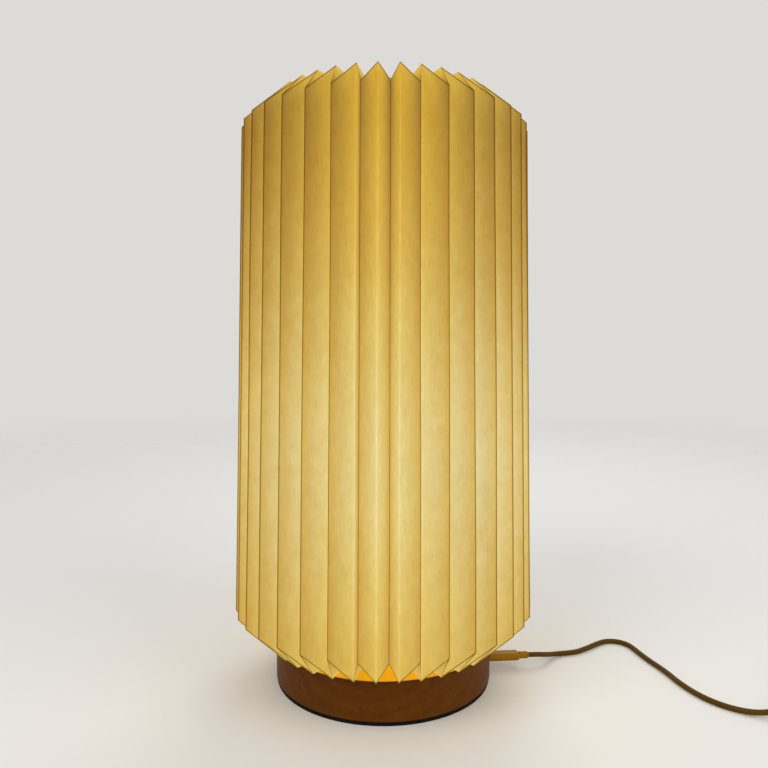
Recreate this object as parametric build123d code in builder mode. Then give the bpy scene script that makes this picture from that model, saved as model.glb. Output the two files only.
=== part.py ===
from build123d import *
import os
from math import atan2, cos, degrees, dist, pi, radians, sin, sqrt, tan

# Pleated paper table lamp, in millimetres. +Z is up, the origin is the middle of the pad's underside,
# and -Y is the front. Each sub-part is a solid of its own.

# ---------------------------------------------------------------- driving sizes

# Base
BASE_RADIUS = 75.0
WOOD_HEIGHT = 25.2
PAD_HEIGHT = 2.4
PAD_INSET = 0.6
TOP_ROUND = 1.2
BOTTOM_BEVEL = 0.5
CAVITY_RADIUS = 50.0
CAVITY_DEPTH = 13.0
PLATE_MARGIN = 5.0
PLATE_RADIUS = BASE_RADIUS - PLATE_MARGIN
PLATE_THICKNESS = 2.0
FIT_GAP = 0.3
RUNNING_GAP = 0.4
TOUCH_GAP = 0.1

# Plate screws
PLATE_SCREWS = 4
PLATE_SCREW_MARGIN = 8.0
PLATE_SCREW_REACH = PLATE_RADIUS - PLATE_SCREW_MARGIN
PLATE_SCREW_RADIUS = 1.5
PLATE_SCREW_HEAD = 3.0
PLATE_SCREW_LENGTH = 12.0

# Disc that centres the shade
DISC_THICKNESS = 4.0
DISC_BEVEL = 0.8

# Shade
PLEATS = 36
WALL_PLEATS_EACH = 2
FLANGE_PLEATS_EACH = 3
PAPER = 0.4
FOLD_RADIUS = 100.0
FOLD_SLOPE = 0.0166
FOLD_RATIO = 0.764
SHADE_HEIGHT = 368.5
BOTTOM_NOTCH = 22.8
TOP_NOTCH = 20.4
FLANGE_RADIUS = 51.0
SHADE_TURN = 1.9
HOOP_WALL = 0.8
BOTTOM_HOOP_HEIGHT = 5.0
TOP_HOOP_HEIGHT = 14.0

# Threaded stem that holds the lamp holder
STEM_RADIUS = 5.0
STEM_BORE = 3.6
STEM_BELOW = 7.0
STEM_ABOVE = 6.0
NUT_WIDTH = 14.0
NUT_THICKNESS = 3.5
WASHER_RADIUS = 9.0
WASHER_THICKNESS = 1.2

# Lamp holder
HOLDER_RADIUS = 19.5
HOLDER_WALL = 2.2
HOLDER_FOOT_RADIUS = 14.0
HOLDER_CAP_HEIGHT = 19.0
HOLDER_BODY_HEIGHT = 35.0
HOLDER_DRAFT = 0.5
INSERT_THICKNESS = 6.0
SHELL_RADIUS = 13.4
SHELL_WALL = 0.5
SHELL_HEIGHT = 23.0
SHELL_MOUTH = 11.0
CONTACT_WIDTH = 6.0
CONTACT_THICKNESS = 0.6
CONTACT_RISE = 2.2
CONTACT_REACH = 8.0

# Bulb
BULB_HEIGHT = 104.0
GLOBE_RADIUS = 30.0
GLOBE_WALL = 1.2
GLOBE_MOUTH_TURN = 30.4
BULB_CAP_RADIUS = 13.1
BULB_CAP_HEIGHT = 21.0
BULB_CAP_WALL = 0.5
INSULATOR_HEIGHT = 2.6
TIP_RADIUS = 4.6
TIP_HEIGHT = 1.2
NECK_FOOT_RADIUS = 13.3
NECK_WALL = 1.6
NECK_LEDGE = 3.0
LED_PLATE_THICKNESS = 1.4
LED_COUNT = 12
LED_CIRCLE = 16.0
LED_SIZE = 2.8
LED_HEIGHT = 0.8

# Socket in the right flank, on its own radial line
PORT_TURN = 5.0
PORT_HEIGHT = 7.5
PORT_POCKET = (16.4, 7.4)
PORT_DEPTH = 1.4
BEZEL_THICKNESS = 1.0
BEZEL_CORNER = 1.5
PLUG_SLOT = (9.0, 3.2)
WALL_AT_PORT = 3.6
CHANNEL_WIDTH = 16.0
CHANNEL_TOP = 4.2
SOCKET_SIZE = (7.4, 9.3, 3.6)
SOCKET_WALL = 0.25
SOCKET_BACK = 1.0
SOCKET_CORNER = 1.7
TONGUE_SIZE = (4.6, 6.7, 0.7)
BOARD_SIZE = (30.0, 15.0, 1.0)
BOARD_SCREW_RADIUS = 0.9
BOARD_SCREW_HEAD = 1.8
BOARD_SCREW_HEAD_HEIGHT = 1.1
BOARD_SCREW_INSET = 4.5
CHIP_SIZE = (5.0, 5.0, 1.2)
CHIP_AT = 5.0
COIL_CAN_RADIUS = 2.6
COIL_CAN_HEIGHT = 3.6
COIL_CAN_AT = -2.0
CAPACITOR_RADIUS = 2.0
CAPACITOR_HEIGHT = 4.5
CAPACITOR_AT = 9.0
CAPACITOR_ACROSS = 4.6
WIRE_RADIUS = 0.7
WIRE_SPREAD = 1.5
WIRE_BEND = 5.0
WIRE_ON_BOARD = 2.5

# Moulded plug in the socket
PLUG_SHELL = (6.6, 8.34, 2.56)
PLUG_SHELL_WALL = 0.33
PLUG_BODY = (23.5, 9.8, 5.4)
PLUG_ROUND = 2.6
PLUG_BEVEL = 0.8
RELIEF_LENGTH = 7.4
RELIEF_COLLAR = 5.8
RELIEF_START = 2.5
RELIEF_END = 2.05
RING_GROOVE = 0.5

# Lead
LEAD_DIAMETER = 3.5

# Inline rocker switch
SWITCH_SIZE = (46.0, 17.0, 13.0)
SWITCH_X = 286.0
SWITCH_Y = -66.0
SWITCH_WALL = 1.6
SWITCH_SPLIT = 6.5
SWITCH_CORNER = 6.0
SWITCH_EDGE = 1.6
SWITCH_RELIEF = 6.0
ROCKER_SIZE = (15.0, 8.0)
ROCKER_GAP = 0.4
ROCKER_TILT = 10.0
ROCKER_MIDDLE_RISE = 3.4
ROCKER_DROP = 4.0
ROCKER_PIN_RADIUS = 1.0
ROCKER_PIN_DEPTH = 3.0
EAR_THICKNESS = 1.6
EAR_WIDTH = 5.0
EAR_DROP = 2.2
SWITCH_SCREW_OFFSET = 17.5
SWITCH_SCREW_RADIUS = 1.2
SWITCH_SCREW_HEAD = 2.2
SWITCH_SCREW_HEAD_HEIGHT = 1.4
SWITCH_SCREW_BITE = 4.5
TERMINAL_SIZE = (4.0, 6.0, 3.0)
TERMINAL_OFFSET = 11.5

# Coil of the unseen length, and its tie
COIL_INNER = 14.0
COIL_STEP = 2.0
COIL_CLIMB = 13.4
COIL_IN_HALVES = 7
COIL_OUT_HALVES = 8
COIL_X = 317.0
COIL_Y = -18.0
LAYER_RISE = 4.0
TIE_THICKNESS = 0.5
TIE_WIDTH = 8.0
TIE_GAP = 0.1
TIE_SLACK = 0.8

# Plug at the far end
FAR_TURN = 72.0
FAR_BODY = (26.0, 15.6, 8.4)
FAR_BODY_ROUND = 2.6
FAR_RELIEF = 8.0
FAR_SHELL = (18.6, 12.0, 4.5)
FAR_SHELL_WALL = 0.35
FAR_TONGUE = (16.0, 11.0, 1.8)

# Cutters reach past what they cut by this much
OVER = 5.0

# ---------------------------------------------------------------- levels and places

wood_bottom = PAD_HEIGHT
wood_top = wood_bottom + WOOD_HEIGHT
disc_top = wood_top + DISC_THICKNESS
plate_top = wood_bottom + PLATE_THICKNESS
cavity_roof = wood_bottom + CAVITY_DEPTH
lead_radius = LEAD_DIAMETER / 2

half_pleat = 180 / PLEATS
shade_bottom = wood_top + FIT_GAP
shade_top = shade_bottom + SHADE_HEIGHT
notch_bottom = shade_bottom + BOTTOM_NOTCH
notch_top = shade_top - TOP_NOTCH
hoop_inner = FLANGE_RADIUS - HOOP_WALL
disc_radius = hoop_inner - RUNNING_GAP

holder_bottom = disc_top
holder_split = holder_bottom + HOLDER_CAP_HEIGHT
holder_top = holder_split + HOLDER_BODY_HEIGHT
insert_top = holder_split + INSERT_THICKNESS
shell_top = insert_top + SHELL_HEIGHT
contact_top = insert_top + CONTACT_RISE

bulb_bottom = contact_top + FIT_GAP
bulb_top = bulb_bottom + BULB_HEIGHT
globe_middle = bulb_top - GLOBE_RADIUS
insulator_bottom = bulb_bottom + TIP_HEIGHT
bulb_cap_bottom = insulator_bottom + INSULATOR_HEIGHT
neck_bottom = bulb_cap_bottom + BULB_CAP_HEIGHT
neck_top = globe_middle - GLOBE_RADIUS * sin(radians(GLOBE_MOUTH_TURN))
neck_top_radius = GLOBE_RADIUS * cos(radians(GLOBE_MOUTH_TURN))
led_plate_radius = neck_top_radius - NECK_WALL - TOUCH_GAP

# The socket's own frame: its X runs outwards along the port's radial line.
port_axis = Vector(cos(radians(PORT_TURN)), sin(radians(PORT_TURN)), 0)
port_flat = BASE_RADIUS - PORT_DEPTH
bezel_face = port_flat + BEZEL_THICKNESS
wall_inner = port_flat - WALL_AT_PORT
socket_mouth = port_flat - TOUCH_GAP
socket_length, socket_width, socket_height = SOCKET_SIZE
socket_back = socket_mouth - socket_length
board_length, board_width, board_thickness = BOARD_SIZE
board_outer = wall_inner - FIT_GAP
board_inner = board_outer - board_length
board_top = PORT_HEIGHT - socket_height / 2
board_bottom = board_top - board_thickness
plug_face = bezel_face + FIT_GAP
plug_back = plug_face + PLUG_BODY[0]
relief_end = plug_back + RELIEF_LENGTH
board_screw_along = board_inner + BOARD_SCREW_INSET
board_screw_across = board_width / 2 - BOARD_SCREW_INSET / 2


def port_plane(along):
    """The plane square to the port's radial line, at a distance from the lamp's axis."""
    return Plane(
        origin=port_axis * along + Vector(0, 0, PORT_HEIGHT),
        x_dir=(-port_axis.Y, port_axis.X, 0),
        z_dir=port_axis,
    )


def port_point(along, across, height):
    """A point given by its distance along and across the port's radial line."""
    return port_axis * along + Vector(-port_axis.Y, port_axis.X, 0) * across + Vector(0, 0, height)


# ---------------------------------------------------------------- base

os.makedirs("parts", exist_ok=True)
screw_start = 180 / PLATE_SCREWS
channel_height = PORT_HEIGHT + CHANNEL_TOP - plate_top


def ring(outer, inner, bottom, height):
    """Adds a plain ring about the lamp's axis to the current part."""
    with BuildSketch(Plane.XY.offset(bottom)) as section:
        Circle(outer)
        Circle(inner, mode=Mode.SUBTRACT)
    extrude(section.sketch, amount=height)


def turn_outline(*outline):
    """Turns a straight-sided outline of (radius, height) points about the axis, in the current part."""
    with BuildSketch(Plane.XZ) as section:
        with BuildLine():
            Polyline(*outline, close=True)
        make_face()
    revolve(section.sketch, axis=Axis.Z)


def tube(points, radius, radii):
    """Adds a round tube along straight runs joined by tangent arcs, and gives its length."""
    with BuildLine() as route:
        FilletPolyline(*points, radius=radii)
    path = route.wires()[0]
    with BuildSketch(Plane(origin=path @ 0, z_dir=path % 0)) as section:
        Circle(radius)
    sweep(section.sketch, path=path)
    return path.length


# One countersunk plate screw, which also cuts its own hole in the plate and in the wood.
with BuildPart() as plate_screw:
    turn_outline(
        (0, wood_bottom),
        (PLATE_SCREW_HEAD, wood_bottom),
        (PLATE_SCREW_RADIUS, wood_bottom + PLATE_SCREW_HEAD - PLATE_SCREW_RADIUS),
        (PLATE_SCREW_RADIUS, wood_bottom + PLATE_SCREW_LENGTH - PLATE_SCREW_RADIUS),
        (0, wood_bottom + PLATE_SCREW_LENGTH),
    )

with BuildPart() as wood_base:
    with BuildSketch(Plane.XY.offset(wood_bottom)):
        Circle(BASE_RADIUS)
    extrude(amount=WOOD_HEIGHT)
    fillet(wood_base.edges().group_by(Axis.Z)[-1], TOP_ROUND)
    chamfer(wood_base.edges().group_by(Axis.Z)[0], BOTTOM_BEVEL)
    with BuildSketch(Plane.XY.offset(wood_bottom)):
        Circle(PLATE_RADIUS + FIT_GAP)
    extrude(amount=PLATE_THICKNESS, mode=Mode.SUBTRACT)
    with BuildSketch(Plane.XY.offset(wood_bottom)):
        Circle(CAVITY_RADIUS)
    extrude(amount=CAVITY_DEPTH, mode=Mode.SUBTRACT)
    with BuildSketch(Plane.XY.offset(cavity_roof)):
        Circle(STEM_RADIUS + FIT_GAP)
    extrude(amount=wood_top - cavity_roof, mode=Mode.SUBTRACT)
    with PolarLocations(PLATE_SCREW_REACH, PLATE_SCREWS, start_angle=screw_start):
        add(plate_screw.part, mode=Mode.SUBTRACT)
    # the board's channel, from the cavity to the thin wall behind the socket's opening
    with BuildSketch(port_plane(CAVITY_RADIUS - OVER)):
        with Locations((0, CHANNEL_TOP - channel_height / 2)):
            Rectangle(CHANNEL_WIDTH, channel_height)
    extrude(amount=wall_inner - CAVITY_RADIUS + OVER, mode=Mode.SUBTRACT)
    # the opening for the socket, and the shallow flat for its bezel
    with BuildSketch(port_plane(wall_inner)):
        Rectangle(socket_width + 2 * FIT_GAP, socket_height + 2 * FIT_GAP)
    extrude(amount=WALL_AT_PORT + OVER, mode=Mode.SUBTRACT)
    with BuildSketch(port_plane(port_flat)):
        RectangleRounded(PORT_POCKET[0], PORT_POCKET[1], BEZEL_CORNER)
    extrude(amount=OVER, mode=Mode.SUBTRACT)
wood_base.part.label = "wood_base"
export_step(wood_base.part, "parts/wood_base.step")

with BuildPart() as base_pad:
    with BuildSketch():
        Circle(BASE_RADIUS - PAD_INSET)
    extrude(amount=PAD_HEIGHT)
base_pad.part.label = "base_pad"
export_step(base_pad.part, "parts/base_pad.step")

board_screw_spots = [
    port_point(board_screw_along, side * board_screw_across, 0) for side in (-1, 1)
]

with BuildPart() as bottom_plate:
    with BuildSketch(Plane.XY.offset(wood_bottom)):
        Circle(PLATE_RADIUS)
    extrude(amount=PLATE_THICKNESS)
    with PolarLocations(PLATE_SCREW_REACH, PLATE_SCREWS, start_angle=screw_start):
        add(plate_screw.part, mode=Mode.SUBTRACT)
    with BuildSketch(Plane.XY.offset(wood_bottom)):
        with Locations(*board_screw_spots):
            Circle(BOARD_SCREW_RADIUS)
    extrude(amount=PLATE_THICKNESS, mode=Mode.SUBTRACT)
bottom_plate.part.label = "bottom_plate"
export_step(bottom_plate.part, "parts/bottom_plate.step")

with BuildPart() as plate_screws:
    with PolarLocations(PLATE_SCREW_REACH, PLATE_SCREWS, start_angle=screw_start):
        add(plate_screw.part)
plate_screws.part.label = "plate_screws"
export_step(plate_screws.part, "parts/plate_screws.step")

with BuildPart() as locating_disc:
    with BuildSketch(Plane.XY.offset(wood_top)):
        Circle(disc_radius)
        Circle(STEM_RADIUS + FIT_GAP, mode=Mode.SUBTRACT)
    extrude(amount=DISC_THICKNESS)
    chamfer(locating_disc.edges().group_by(Axis.Z)[-1].sort_by(SortBy.RADIUS)[-1], DISC_BEVEL)
locating_disc.part.label = "locating_disc"
export_step(locating_disc.part, "parts/locating_disc.step")

# ---------------------------------------------------------------- socket and driver board

with BuildPart() as port_bezel:
    with BuildSketch(port_plane(port_flat)):
        RectangleRounded(PORT_POCKET[0] - 2 * FIT_GAP, PORT_POCKET[1] - 2 * FIT_GAP, BEZEL_CORNER)
        SlotOverall(*PLUG_SLOT, mode=Mode.SUBTRACT)
    extrude(amount=BEZEL_THICKNESS)
port_bezel.part.label = "port_bezel"
export_step(port_bezel.part, "parts/port_bezel.step")

with BuildPart() as usb_socket:
    with BuildSketch(port_plane(socket_back)):
        RectangleRounded(socket_width, socket_height, SOCKET_CORNER)
    extrude(amount=socket_length)
    with BuildSketch(port_plane(socket_back + SOCKET_BACK)):
        RectangleRounded(
            socket_width - 2 * SOCKET_WALL,
            socket_height - 2 * SOCKET_WALL,
            SOCKET_CORNER - SOCKET_WALL,
        )
    extrude(amount=socket_length, mode=Mode.SUBTRACT)
usb_socket.part.label = "usb_socket"
export_step(usb_socket.part, "parts/usb_socket.step")

with BuildPart() as socket_tongue:
    with BuildSketch(port_plane(socket_back + SOCKET_BACK)):
        Rectangle(TONGUE_SIZE[1], TONGUE_SIZE[2])
    extrude(amount=TONGUE_SIZE[0])
socket_tongue.part.label = "socket_tongue"
export_step(socket_tongue.part, "parts/socket_tongue.step")

board_plane = Plane(
    origin=port_point((board_inner + board_outer) / 2, 0, board_bottom), x_dir=port_axis, z_dir=(0, 0, 1)
)
board_screw_at = board_screw_along - (board_inner + board_outer) / 2

with BuildPart() as driver_board:
    with BuildSketch(board_plane):
        Rectangle(board_length, board_width)
        with Locations(*[(board_screw_at, side * board_screw_across) for side in (-1, 1)]):
            Circle(BOARD_SCREW_RADIUS + TOUCH_GAP, mode=Mode.SUBTRACT)
    extrude(amount=board_thickness)
driver_board.part.label = "driver_board"
export_step(driver_board.part, "parts/driver_board.step")

with BuildPart() as insulating_sheet:
    with BuildSketch(board_plane):
        Rectangle(board_length, board_width)
        with Locations(*[(board_screw_at, side * board_screw_across) for side in (-1, 1)]):
            Circle(BOARD_SCREW_RADIUS + TOUCH_GAP, mode=Mode.SUBTRACT)
    extrude(amount=plate_top - board_bottom)
insulating_sheet.part.label = "insulating_sheet"
export_step(insulating_sheet.part, "parts/insulating_sheet.step")

with BuildPart() as board_parts:
    with BuildSketch(board_plane.offset(board_thickness)):
        with Locations((CHIP_AT, 0)):
            Rectangle(CHIP_SIZE[0], CHIP_SIZE[1])
    extrude(amount=CHIP_SIZE[2])
    with BuildSketch(board_plane.offset(board_thickness)):
        with Locations((COIL_CAN_AT, 0)):
            Circle(COIL_CAN_RADIUS)
    extrude(amount=COIL_CAN_HEIGHT)
    with BuildSketch(board_plane.offset(board_thickness)):
        with Locations(*[(CAPACITOR_AT, side * CAPACITOR_ACROSS) for side in (-1, 1)]):
            Circle(CAPACITOR_RADIUS)
    extrude(amount=CAPACITOR_HEIGHT)
board_parts.part.label = "board_parts"
export_step(board_parts.part, "parts/board_parts.step")

with BuildPart() as board_screws:
    with BuildSketch(Plane.XY.offset(board_top)):
        with Locations(*board_screw_spots):
            Circle(BOARD_SCREW_HEAD)
    extrude(amount=BOARD_SCREW_HEAD_HEIGHT)
    with BuildSketch(Plane.XY.offset(board_top)):
        with Locations(*board_screw_spots):
            Circle(BOARD_SCREW_RADIUS)
    extrude(amount=wood_bottom + TOUCH_GAP - board_top)
board_screws.part.label = "board_screws"
export_step(board_screws.part, "parts/board_screws.step")

for wire_name, side in (("wire_live", 1), ("wire_return", -1)):
    wire_points = [
        port_point(board_inner + WIRE_ON_BOARD, side * WIRE_SPREAD, board_top + WIRE_RADIUS),
        port_point(0, side * WIRE_SPREAD, board_top + WIRE_RADIUS),
        port_point(0, side * WIRE_SPREAD, holder_split),
    ]
    with BuildPart() as inner_wire:
        tube(wire_points, WIRE_RADIUS, [WIRE_BEND])
    inner_wire.part.label = wire_name
    export_step(inner_wire.part, f"parts/{wire_name}.step")

# ---------------------------------------------------------------- stem and lamp holder

nut_top = cavity_roof - WASHER_THICKNESS
stem_bottom = cavity_roof - STEM_BELOW

with BuildPart() as threaded_stem:
    ring(STEM_RADIUS, STEM_BORE, stem_bottom, holder_bottom + STEM_ABOVE - stem_bottom)
threaded_stem.part.label = "threaded_stem"
export_step(threaded_stem.part, "parts/threaded_stem.step")

with BuildPart() as stem_washer:
    ring(WASHER_RADIUS, STEM_RADIUS + TOUCH_GAP, nut_top, WASHER_THICKNESS)
stem_washer.part.label = "stem_washer"
export_step(stem_washer.part, "parts/stem_washer.step")

# one nut under the washer, one on the holder's floor
with BuildPart() as stem_nuts:
    for nut_bottom in (nut_top - NUT_THICKNESS, holder_bottom + HOLDER_WALL):
        with BuildSketch(Plane.XY.offset(nut_bottom)):
            RegularPolygon(NUT_WIDTH / 2, 6, major_radius=False)
            Circle(STEM_RADIUS, mode=Mode.SUBTRACT)
        extrude(amount=NUT_THICKNESS)
stem_nuts.part.label = "stem_nuts"
export_step(stem_nuts.part, "parts/stem_nuts.step")

holder_inner = HOLDER_RADIUS - HOLDER_WALL
insert_radius = holder_inner + HOLDER_WALL / 2
shoulder = HOLDER_RADIUS - HOLDER_FOOT_RADIUS

with BuildPart() as holder_cap:
    with BuildSketch(Plane.XZ):
        with BuildLine():
            Polyline(
                (HOLDER_FOOT_RADIUS, holder_bottom),
                (STEM_RADIUS + TOUCH_GAP, holder_bottom),
                (STEM_RADIUS + TOUCH_GAP, holder_bottom + HOLDER_WALL),
                (HOLDER_FOOT_RADIUS - HOLDER_WALL, holder_bottom + HOLDER_WALL),
                (holder_inner, holder_bottom + shoulder),
                (holder_inner, holder_split),
                (HOLDER_RADIUS, holder_split),
                (HOLDER_RADIUS, holder_bottom + shoulder),
            )
            CenterArc((HOLDER_FOOT_RADIUS, holder_bottom + shoulder), shoulder, -90, 90)
        make_face()
    revolve(axis=Axis.Z)
holder_cap.part.label = "holder_cap"
export_step(holder_cap.part, "parts/holder_cap.step")

with BuildPart() as holder_body:
    turn_outline(
        (HOLDER_RADIUS, holder_split),
        (HOLDER_RADIUS, holder_split + INSERT_THICKNESS),
        (HOLDER_RADIUS - HOLDER_DRAFT, holder_top),
        (holder_inner - HOLDER_DRAFT, holder_top),
        (holder_inner - HOLDER_DRAFT, insert_top),
        (insert_radius + TOUCH_GAP, insert_top),
        (insert_radius + TOUCH_GAP, holder_split),
    )
holder_body.part.label = "holder_body"
export_step(holder_body.part, "parts/holder_body.step")

with BuildPart() as holder_insert:
    with BuildSketch(Plane.XY.offset(holder_split)):
        Circle(insert_radius)
    extrude(amount=INSERT_THICKNESS)
holder_insert.part.label = "holder_insert"
export_step(holder_insert.part, "parts/holder_insert.step")

with BuildPart() as screw_shell:
    turn_outline(
        (SHELL_RADIUS, shell_top),
        (SHELL_RADIUS + SHELL_WALL, shell_top),
        (SHELL_RADIUS + SHELL_WALL, insert_top),
        (SHELL_MOUTH, insert_top),
        (SHELL_MOUTH, insert_top + SHELL_WALL),
        (SHELL_RADIUS, insert_top + SHELL_WALL),
    )
screw_shell.part.label = "screw_shell"
export_step(screw_shell.part, "parts/screw_shell.step")

with BuildPart() as centre_contact:
    with BuildSketch(Plane.XZ):
        with BuildLine():
            Polyline(
                (-CONTACT_REACH, insert_top),
                (-CONTACT_REACH / 2, insert_top),
                (0, contact_top - CONTACT_THICKNESS),
                (CONTACT_REACH / 2, contact_top - CONTACT_THICKNESS),
                (CONTACT_REACH / 2, contact_top),
                (-CONTACT_THICKNESS / 2, contact_top),
                (-CONTACT_REACH / 2 - CONTACT_THICKNESS / 2, insert_top + CONTACT_THICKNESS),
                (-CONTACT_REACH, insert_top + CONTACT_THICKNESS),
                close=True,
            )
        make_face()
    extrude(amount=CONTACT_WIDTH / 2, both=True)
centre_contact.part.label = "centre_contact"
export_step(centre_contact.part, "parts/centre_contact.step")

# ---------------------------------------------------------------- bulb

with BuildPart() as bulb_tip:
    with BuildSketch(Plane.XY.offset(bulb_bottom)):
        Circle(TIP_RADIUS)
    extrude(amount=TIP_HEIGHT)
    fillet(bulb_tip.edges().group_by(Axis.Z)[0], TIP_HEIGHT / 2)
bulb_tip.part.label = "bulb_tip"
export_step(bulb_tip.part, "parts/bulb_tip.step")

insulator_top_radius = BULB_CAP_RADIUS - BULB_CAP_WALL / 2

with BuildPart() as bulb_insulator:
    turn_outline(
        (0, insulator_bottom),
        (TIP_RADIUS + BULB_CAP_WALL, insulator_bottom),
        (insulator_top_radius, bulb_cap_bottom),
        (0, bulb_cap_bottom),
    )
bulb_insulator.part.label = "bulb_insulator"
export_step(bulb_insulator.part, "parts/bulb_insulator.step")

with BuildPart() as bulb_cap:
    ring(BULB_CAP_RADIUS, BULB_CAP_RADIUS - BULB_CAP_WALL, bulb_cap_bottom, BULB_CAP_HEIGHT)
bulb_cap.part.label = "bulb_cap"
export_step(bulb_cap.part, "parts/bulb_cap.step")

neck_waist = neck_bottom + (neck_top - neck_bottom) / 8
neck_belly = neck_bottom + (neck_top - neck_bottom) / 2
ledge_top = neck_top - LED_PLATE_THICKNESS
neck_waist_radius = NECK_FOOT_RADIUS + NECK_WALL / 2
neck_belly_radius = (neck_waist_radius + neck_top_radius) / 2 + NECK_WALL

with BuildPart() as bulb_neck:
    with BuildSketch(Plane.XZ):
        with BuildLine():
            Line((NECK_FOOT_RADIUS, neck_bottom), (neck_waist_radius, neck_waist))
            ThreePointArc(
                (neck_waist_radius, neck_waist),
                (neck_belly_radius, neck_belly),
                (neck_top_radius, neck_top),
            )
            Polyline(
                (neck_top_radius, neck_top),
                (neck_top_radius - NECK_WALL, neck_top),
                (neck_top_radius - NECK_WALL, ledge_top),
                (neck_top_radius - NECK_LEDGE, ledge_top),
            )
            ThreePointArc(
                (neck_top_radius - NECK_LEDGE, ledge_top),
                (neck_belly_radius - NECK_WALL, neck_belly),
                (neck_waist_radius - NECK_WALL, neck_waist),
            )
            Polyline(
                (neck_waist_radius - NECK_WALL, neck_waist),
                (NECK_FOOT_RADIUS - NECK_WALL, neck_bottom),
                (NECK_FOOT_RADIUS, neck_bottom),
            )
        make_face()
    revolve(axis=Axis.Z)
bulb_neck.part.label = "bulb_neck"
export_step(bulb_neck.part, "parts/bulb_neck.step")

with BuildPart() as led_plate:
    with BuildSketch(Plane.XY.offset(neck_top - LED_PLATE_THICKNESS)):
        Circle(led_plate_radius)
    extrude(amount=LED_PLATE_THICKNESS)
led_plate.part.label = "led_plate"
export_step(led_plate.part, "parts/led_plate.step")

with BuildPart() as led_chips:
    with BuildSketch(Plane.XY.offset(neck_top)):
        with PolarLocations(LED_CIRCLE, LED_COUNT):
            Rectangle(LED_SIZE, LED_SIZE)
    extrude(amount=LED_HEIGHT)
led_chips.part.label = "led_chips"
export_step(led_chips.part, "parts/led_chips.step")

globe_inner = GLOBE_RADIUS - GLOBE_WALL
globe_mouth_inner = sqrt(globe_inner**2 - (globe_middle - neck_top) ** 2)

with BuildPart() as bulb_globe:
    with BuildSketch(Plane.XZ):
        with BuildLine():
            ThreePointArc(
                (neck_top_radius, neck_top),
                (GLOBE_RADIUS * cos(pi / 8), globe_middle + GLOBE_RADIUS * sin(pi / 8)),
                (0, bulb_top),
            )
            Line((0, bulb_top), (0, bulb_top - GLOBE_WALL))
            ThreePointArc(
                (0, bulb_top - GLOBE_WALL),
                (globe_inner * cos(pi / 8), globe_middle + globe_inner * sin(pi / 8)),
                (globe_mouth_inner, neck_top),
            )
            Line((globe_mouth_inner, neck_top), (neck_top_radius, neck_top))
        make_face()
    revolve(axis=Axis.Z)
bulb_globe.part.label = "bulb_globe"
export_step(bulb_globe.part, "parts/bulb_globe.step")

# ---------------------------------------------------------------- shade

shade_middle = (shade_bottom + shade_top) / 2
pleat_slope = tan(radians(half_pleat))
pleat_tilt = atan2(FOLD_RATIO * sin(radians(half_pleat)), 1 - FOLD_RATIO * cos(radians(half_pleat)))
flange_middle = (FLANGE_RADIUS + FOLD_RATIO * FOLD_RADIUS) / 2
flange_tilt = atan2(flange_middle * pleat_slope, BOTTOM_NOTCH)
flange_lift = PAPER / sin(flange_tilt)
flange_core = FLANGE_RADIUS - 2 * OVER


def fold_radius(level):
    """The outer folds' distance from the axis: the drum narrows steadily towards its top."""
    return FOLD_RADIUS - FOLD_SLOPE * (level - shade_middle)


def pleat_core(paper, inner):
    """One pleat's filled wedge over the shade's whole height, set in by the paper's thickness.

    The pleat points along +X and runs between two radial planes half a pleat to each side.
    """
    outer_inset = paper / sin(pleat_tilt)
    inner_inset = paper / sin(pleat_tilt + radians(half_pleat))
    with BuildPart() as made:
        for level in (shade_bottom, shade_top):
            fold = fold_radius(level)
            valley = FOLD_RATIO * fold - inner_inset
            across = valley * sin(radians(half_pleat))
            along = valley * cos(radians(half_pleat))
            with BuildSketch(Plane.XY.offset(level)):
                with BuildLine():
                    Polyline(
                        (inner, -inner * pleat_slope),
                        (along, -across),
                        (fold - outer_inset, 0),
                        (along, across),
                        (inner, inner * pleat_slope),
                        close=True,
                    )
                make_face()
        loft(ruled=True)
    return made.part


def flange_tunnel(foot, ridge, sense):
    """The tunnel beyond one pleat's flange: its ridge runs inwards from the outer fold's end.

    The flange's feet lie along the radial planes. The tunnel opens down for a sense of -1, up for 1.
    """
    with BuildPart() as made:
        for reach in (flange_core - OVER, fold_radius(shade_bottom) + OVER):
            side = reach * pleat_slope
            with BuildSketch(Plane(origin=(reach, 0, 0), x_dir=(0, 1, 0), z_dir=(1, 0, 0))):
                with BuildLine():
                    Polyline(
                        (-side, foot),
                        (0, ridge),
                        (side, foot),
                        (side, foot + sense * OVER),
                        (-side, foot + sense * OVER),
                        close=True,
                    )
                make_face()
        loft(ruled=True)
    return made.part


def cut_planes(pleats_each):
    """Upright planes through the axis that part the folded sheet into pieces of so many pleats."""
    first = SHADE_TURN - 90 - half_pleat
    for k in range(PLEATS // (2 * pleats_each)):
        turn = radians(first + 2 * half_pleat * pleats_each * k)
        yield Plane(origin=(0, 0, 0), x_dir=(0, 0, 1), z_dir=(sin(turn), -cos(turn), 0))


# The shade is one folded sheet. Its wall and its two flanges meet at the folds, and each is parted along
# inner folds, so every solid is a plain pleated piece that meets its neighbours face to face.
tunnel_below = flange_tunnel(shade_bottom, notch_bottom, -1)
tunnel_above = flange_tunnel(shade_top, notch_top, 1)

with BuildPart() as wall_pleat:
    add(pleat_core(0, FLANGE_RADIUS - OVER))
    add(tunnel_below, mode=Mode.SUBTRACT)
    add(tunnel_above, mode=Mode.SUBTRACT)
    add(pleat_core(PAPER, flange_core), mode=Mode.SUBTRACT)

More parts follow.
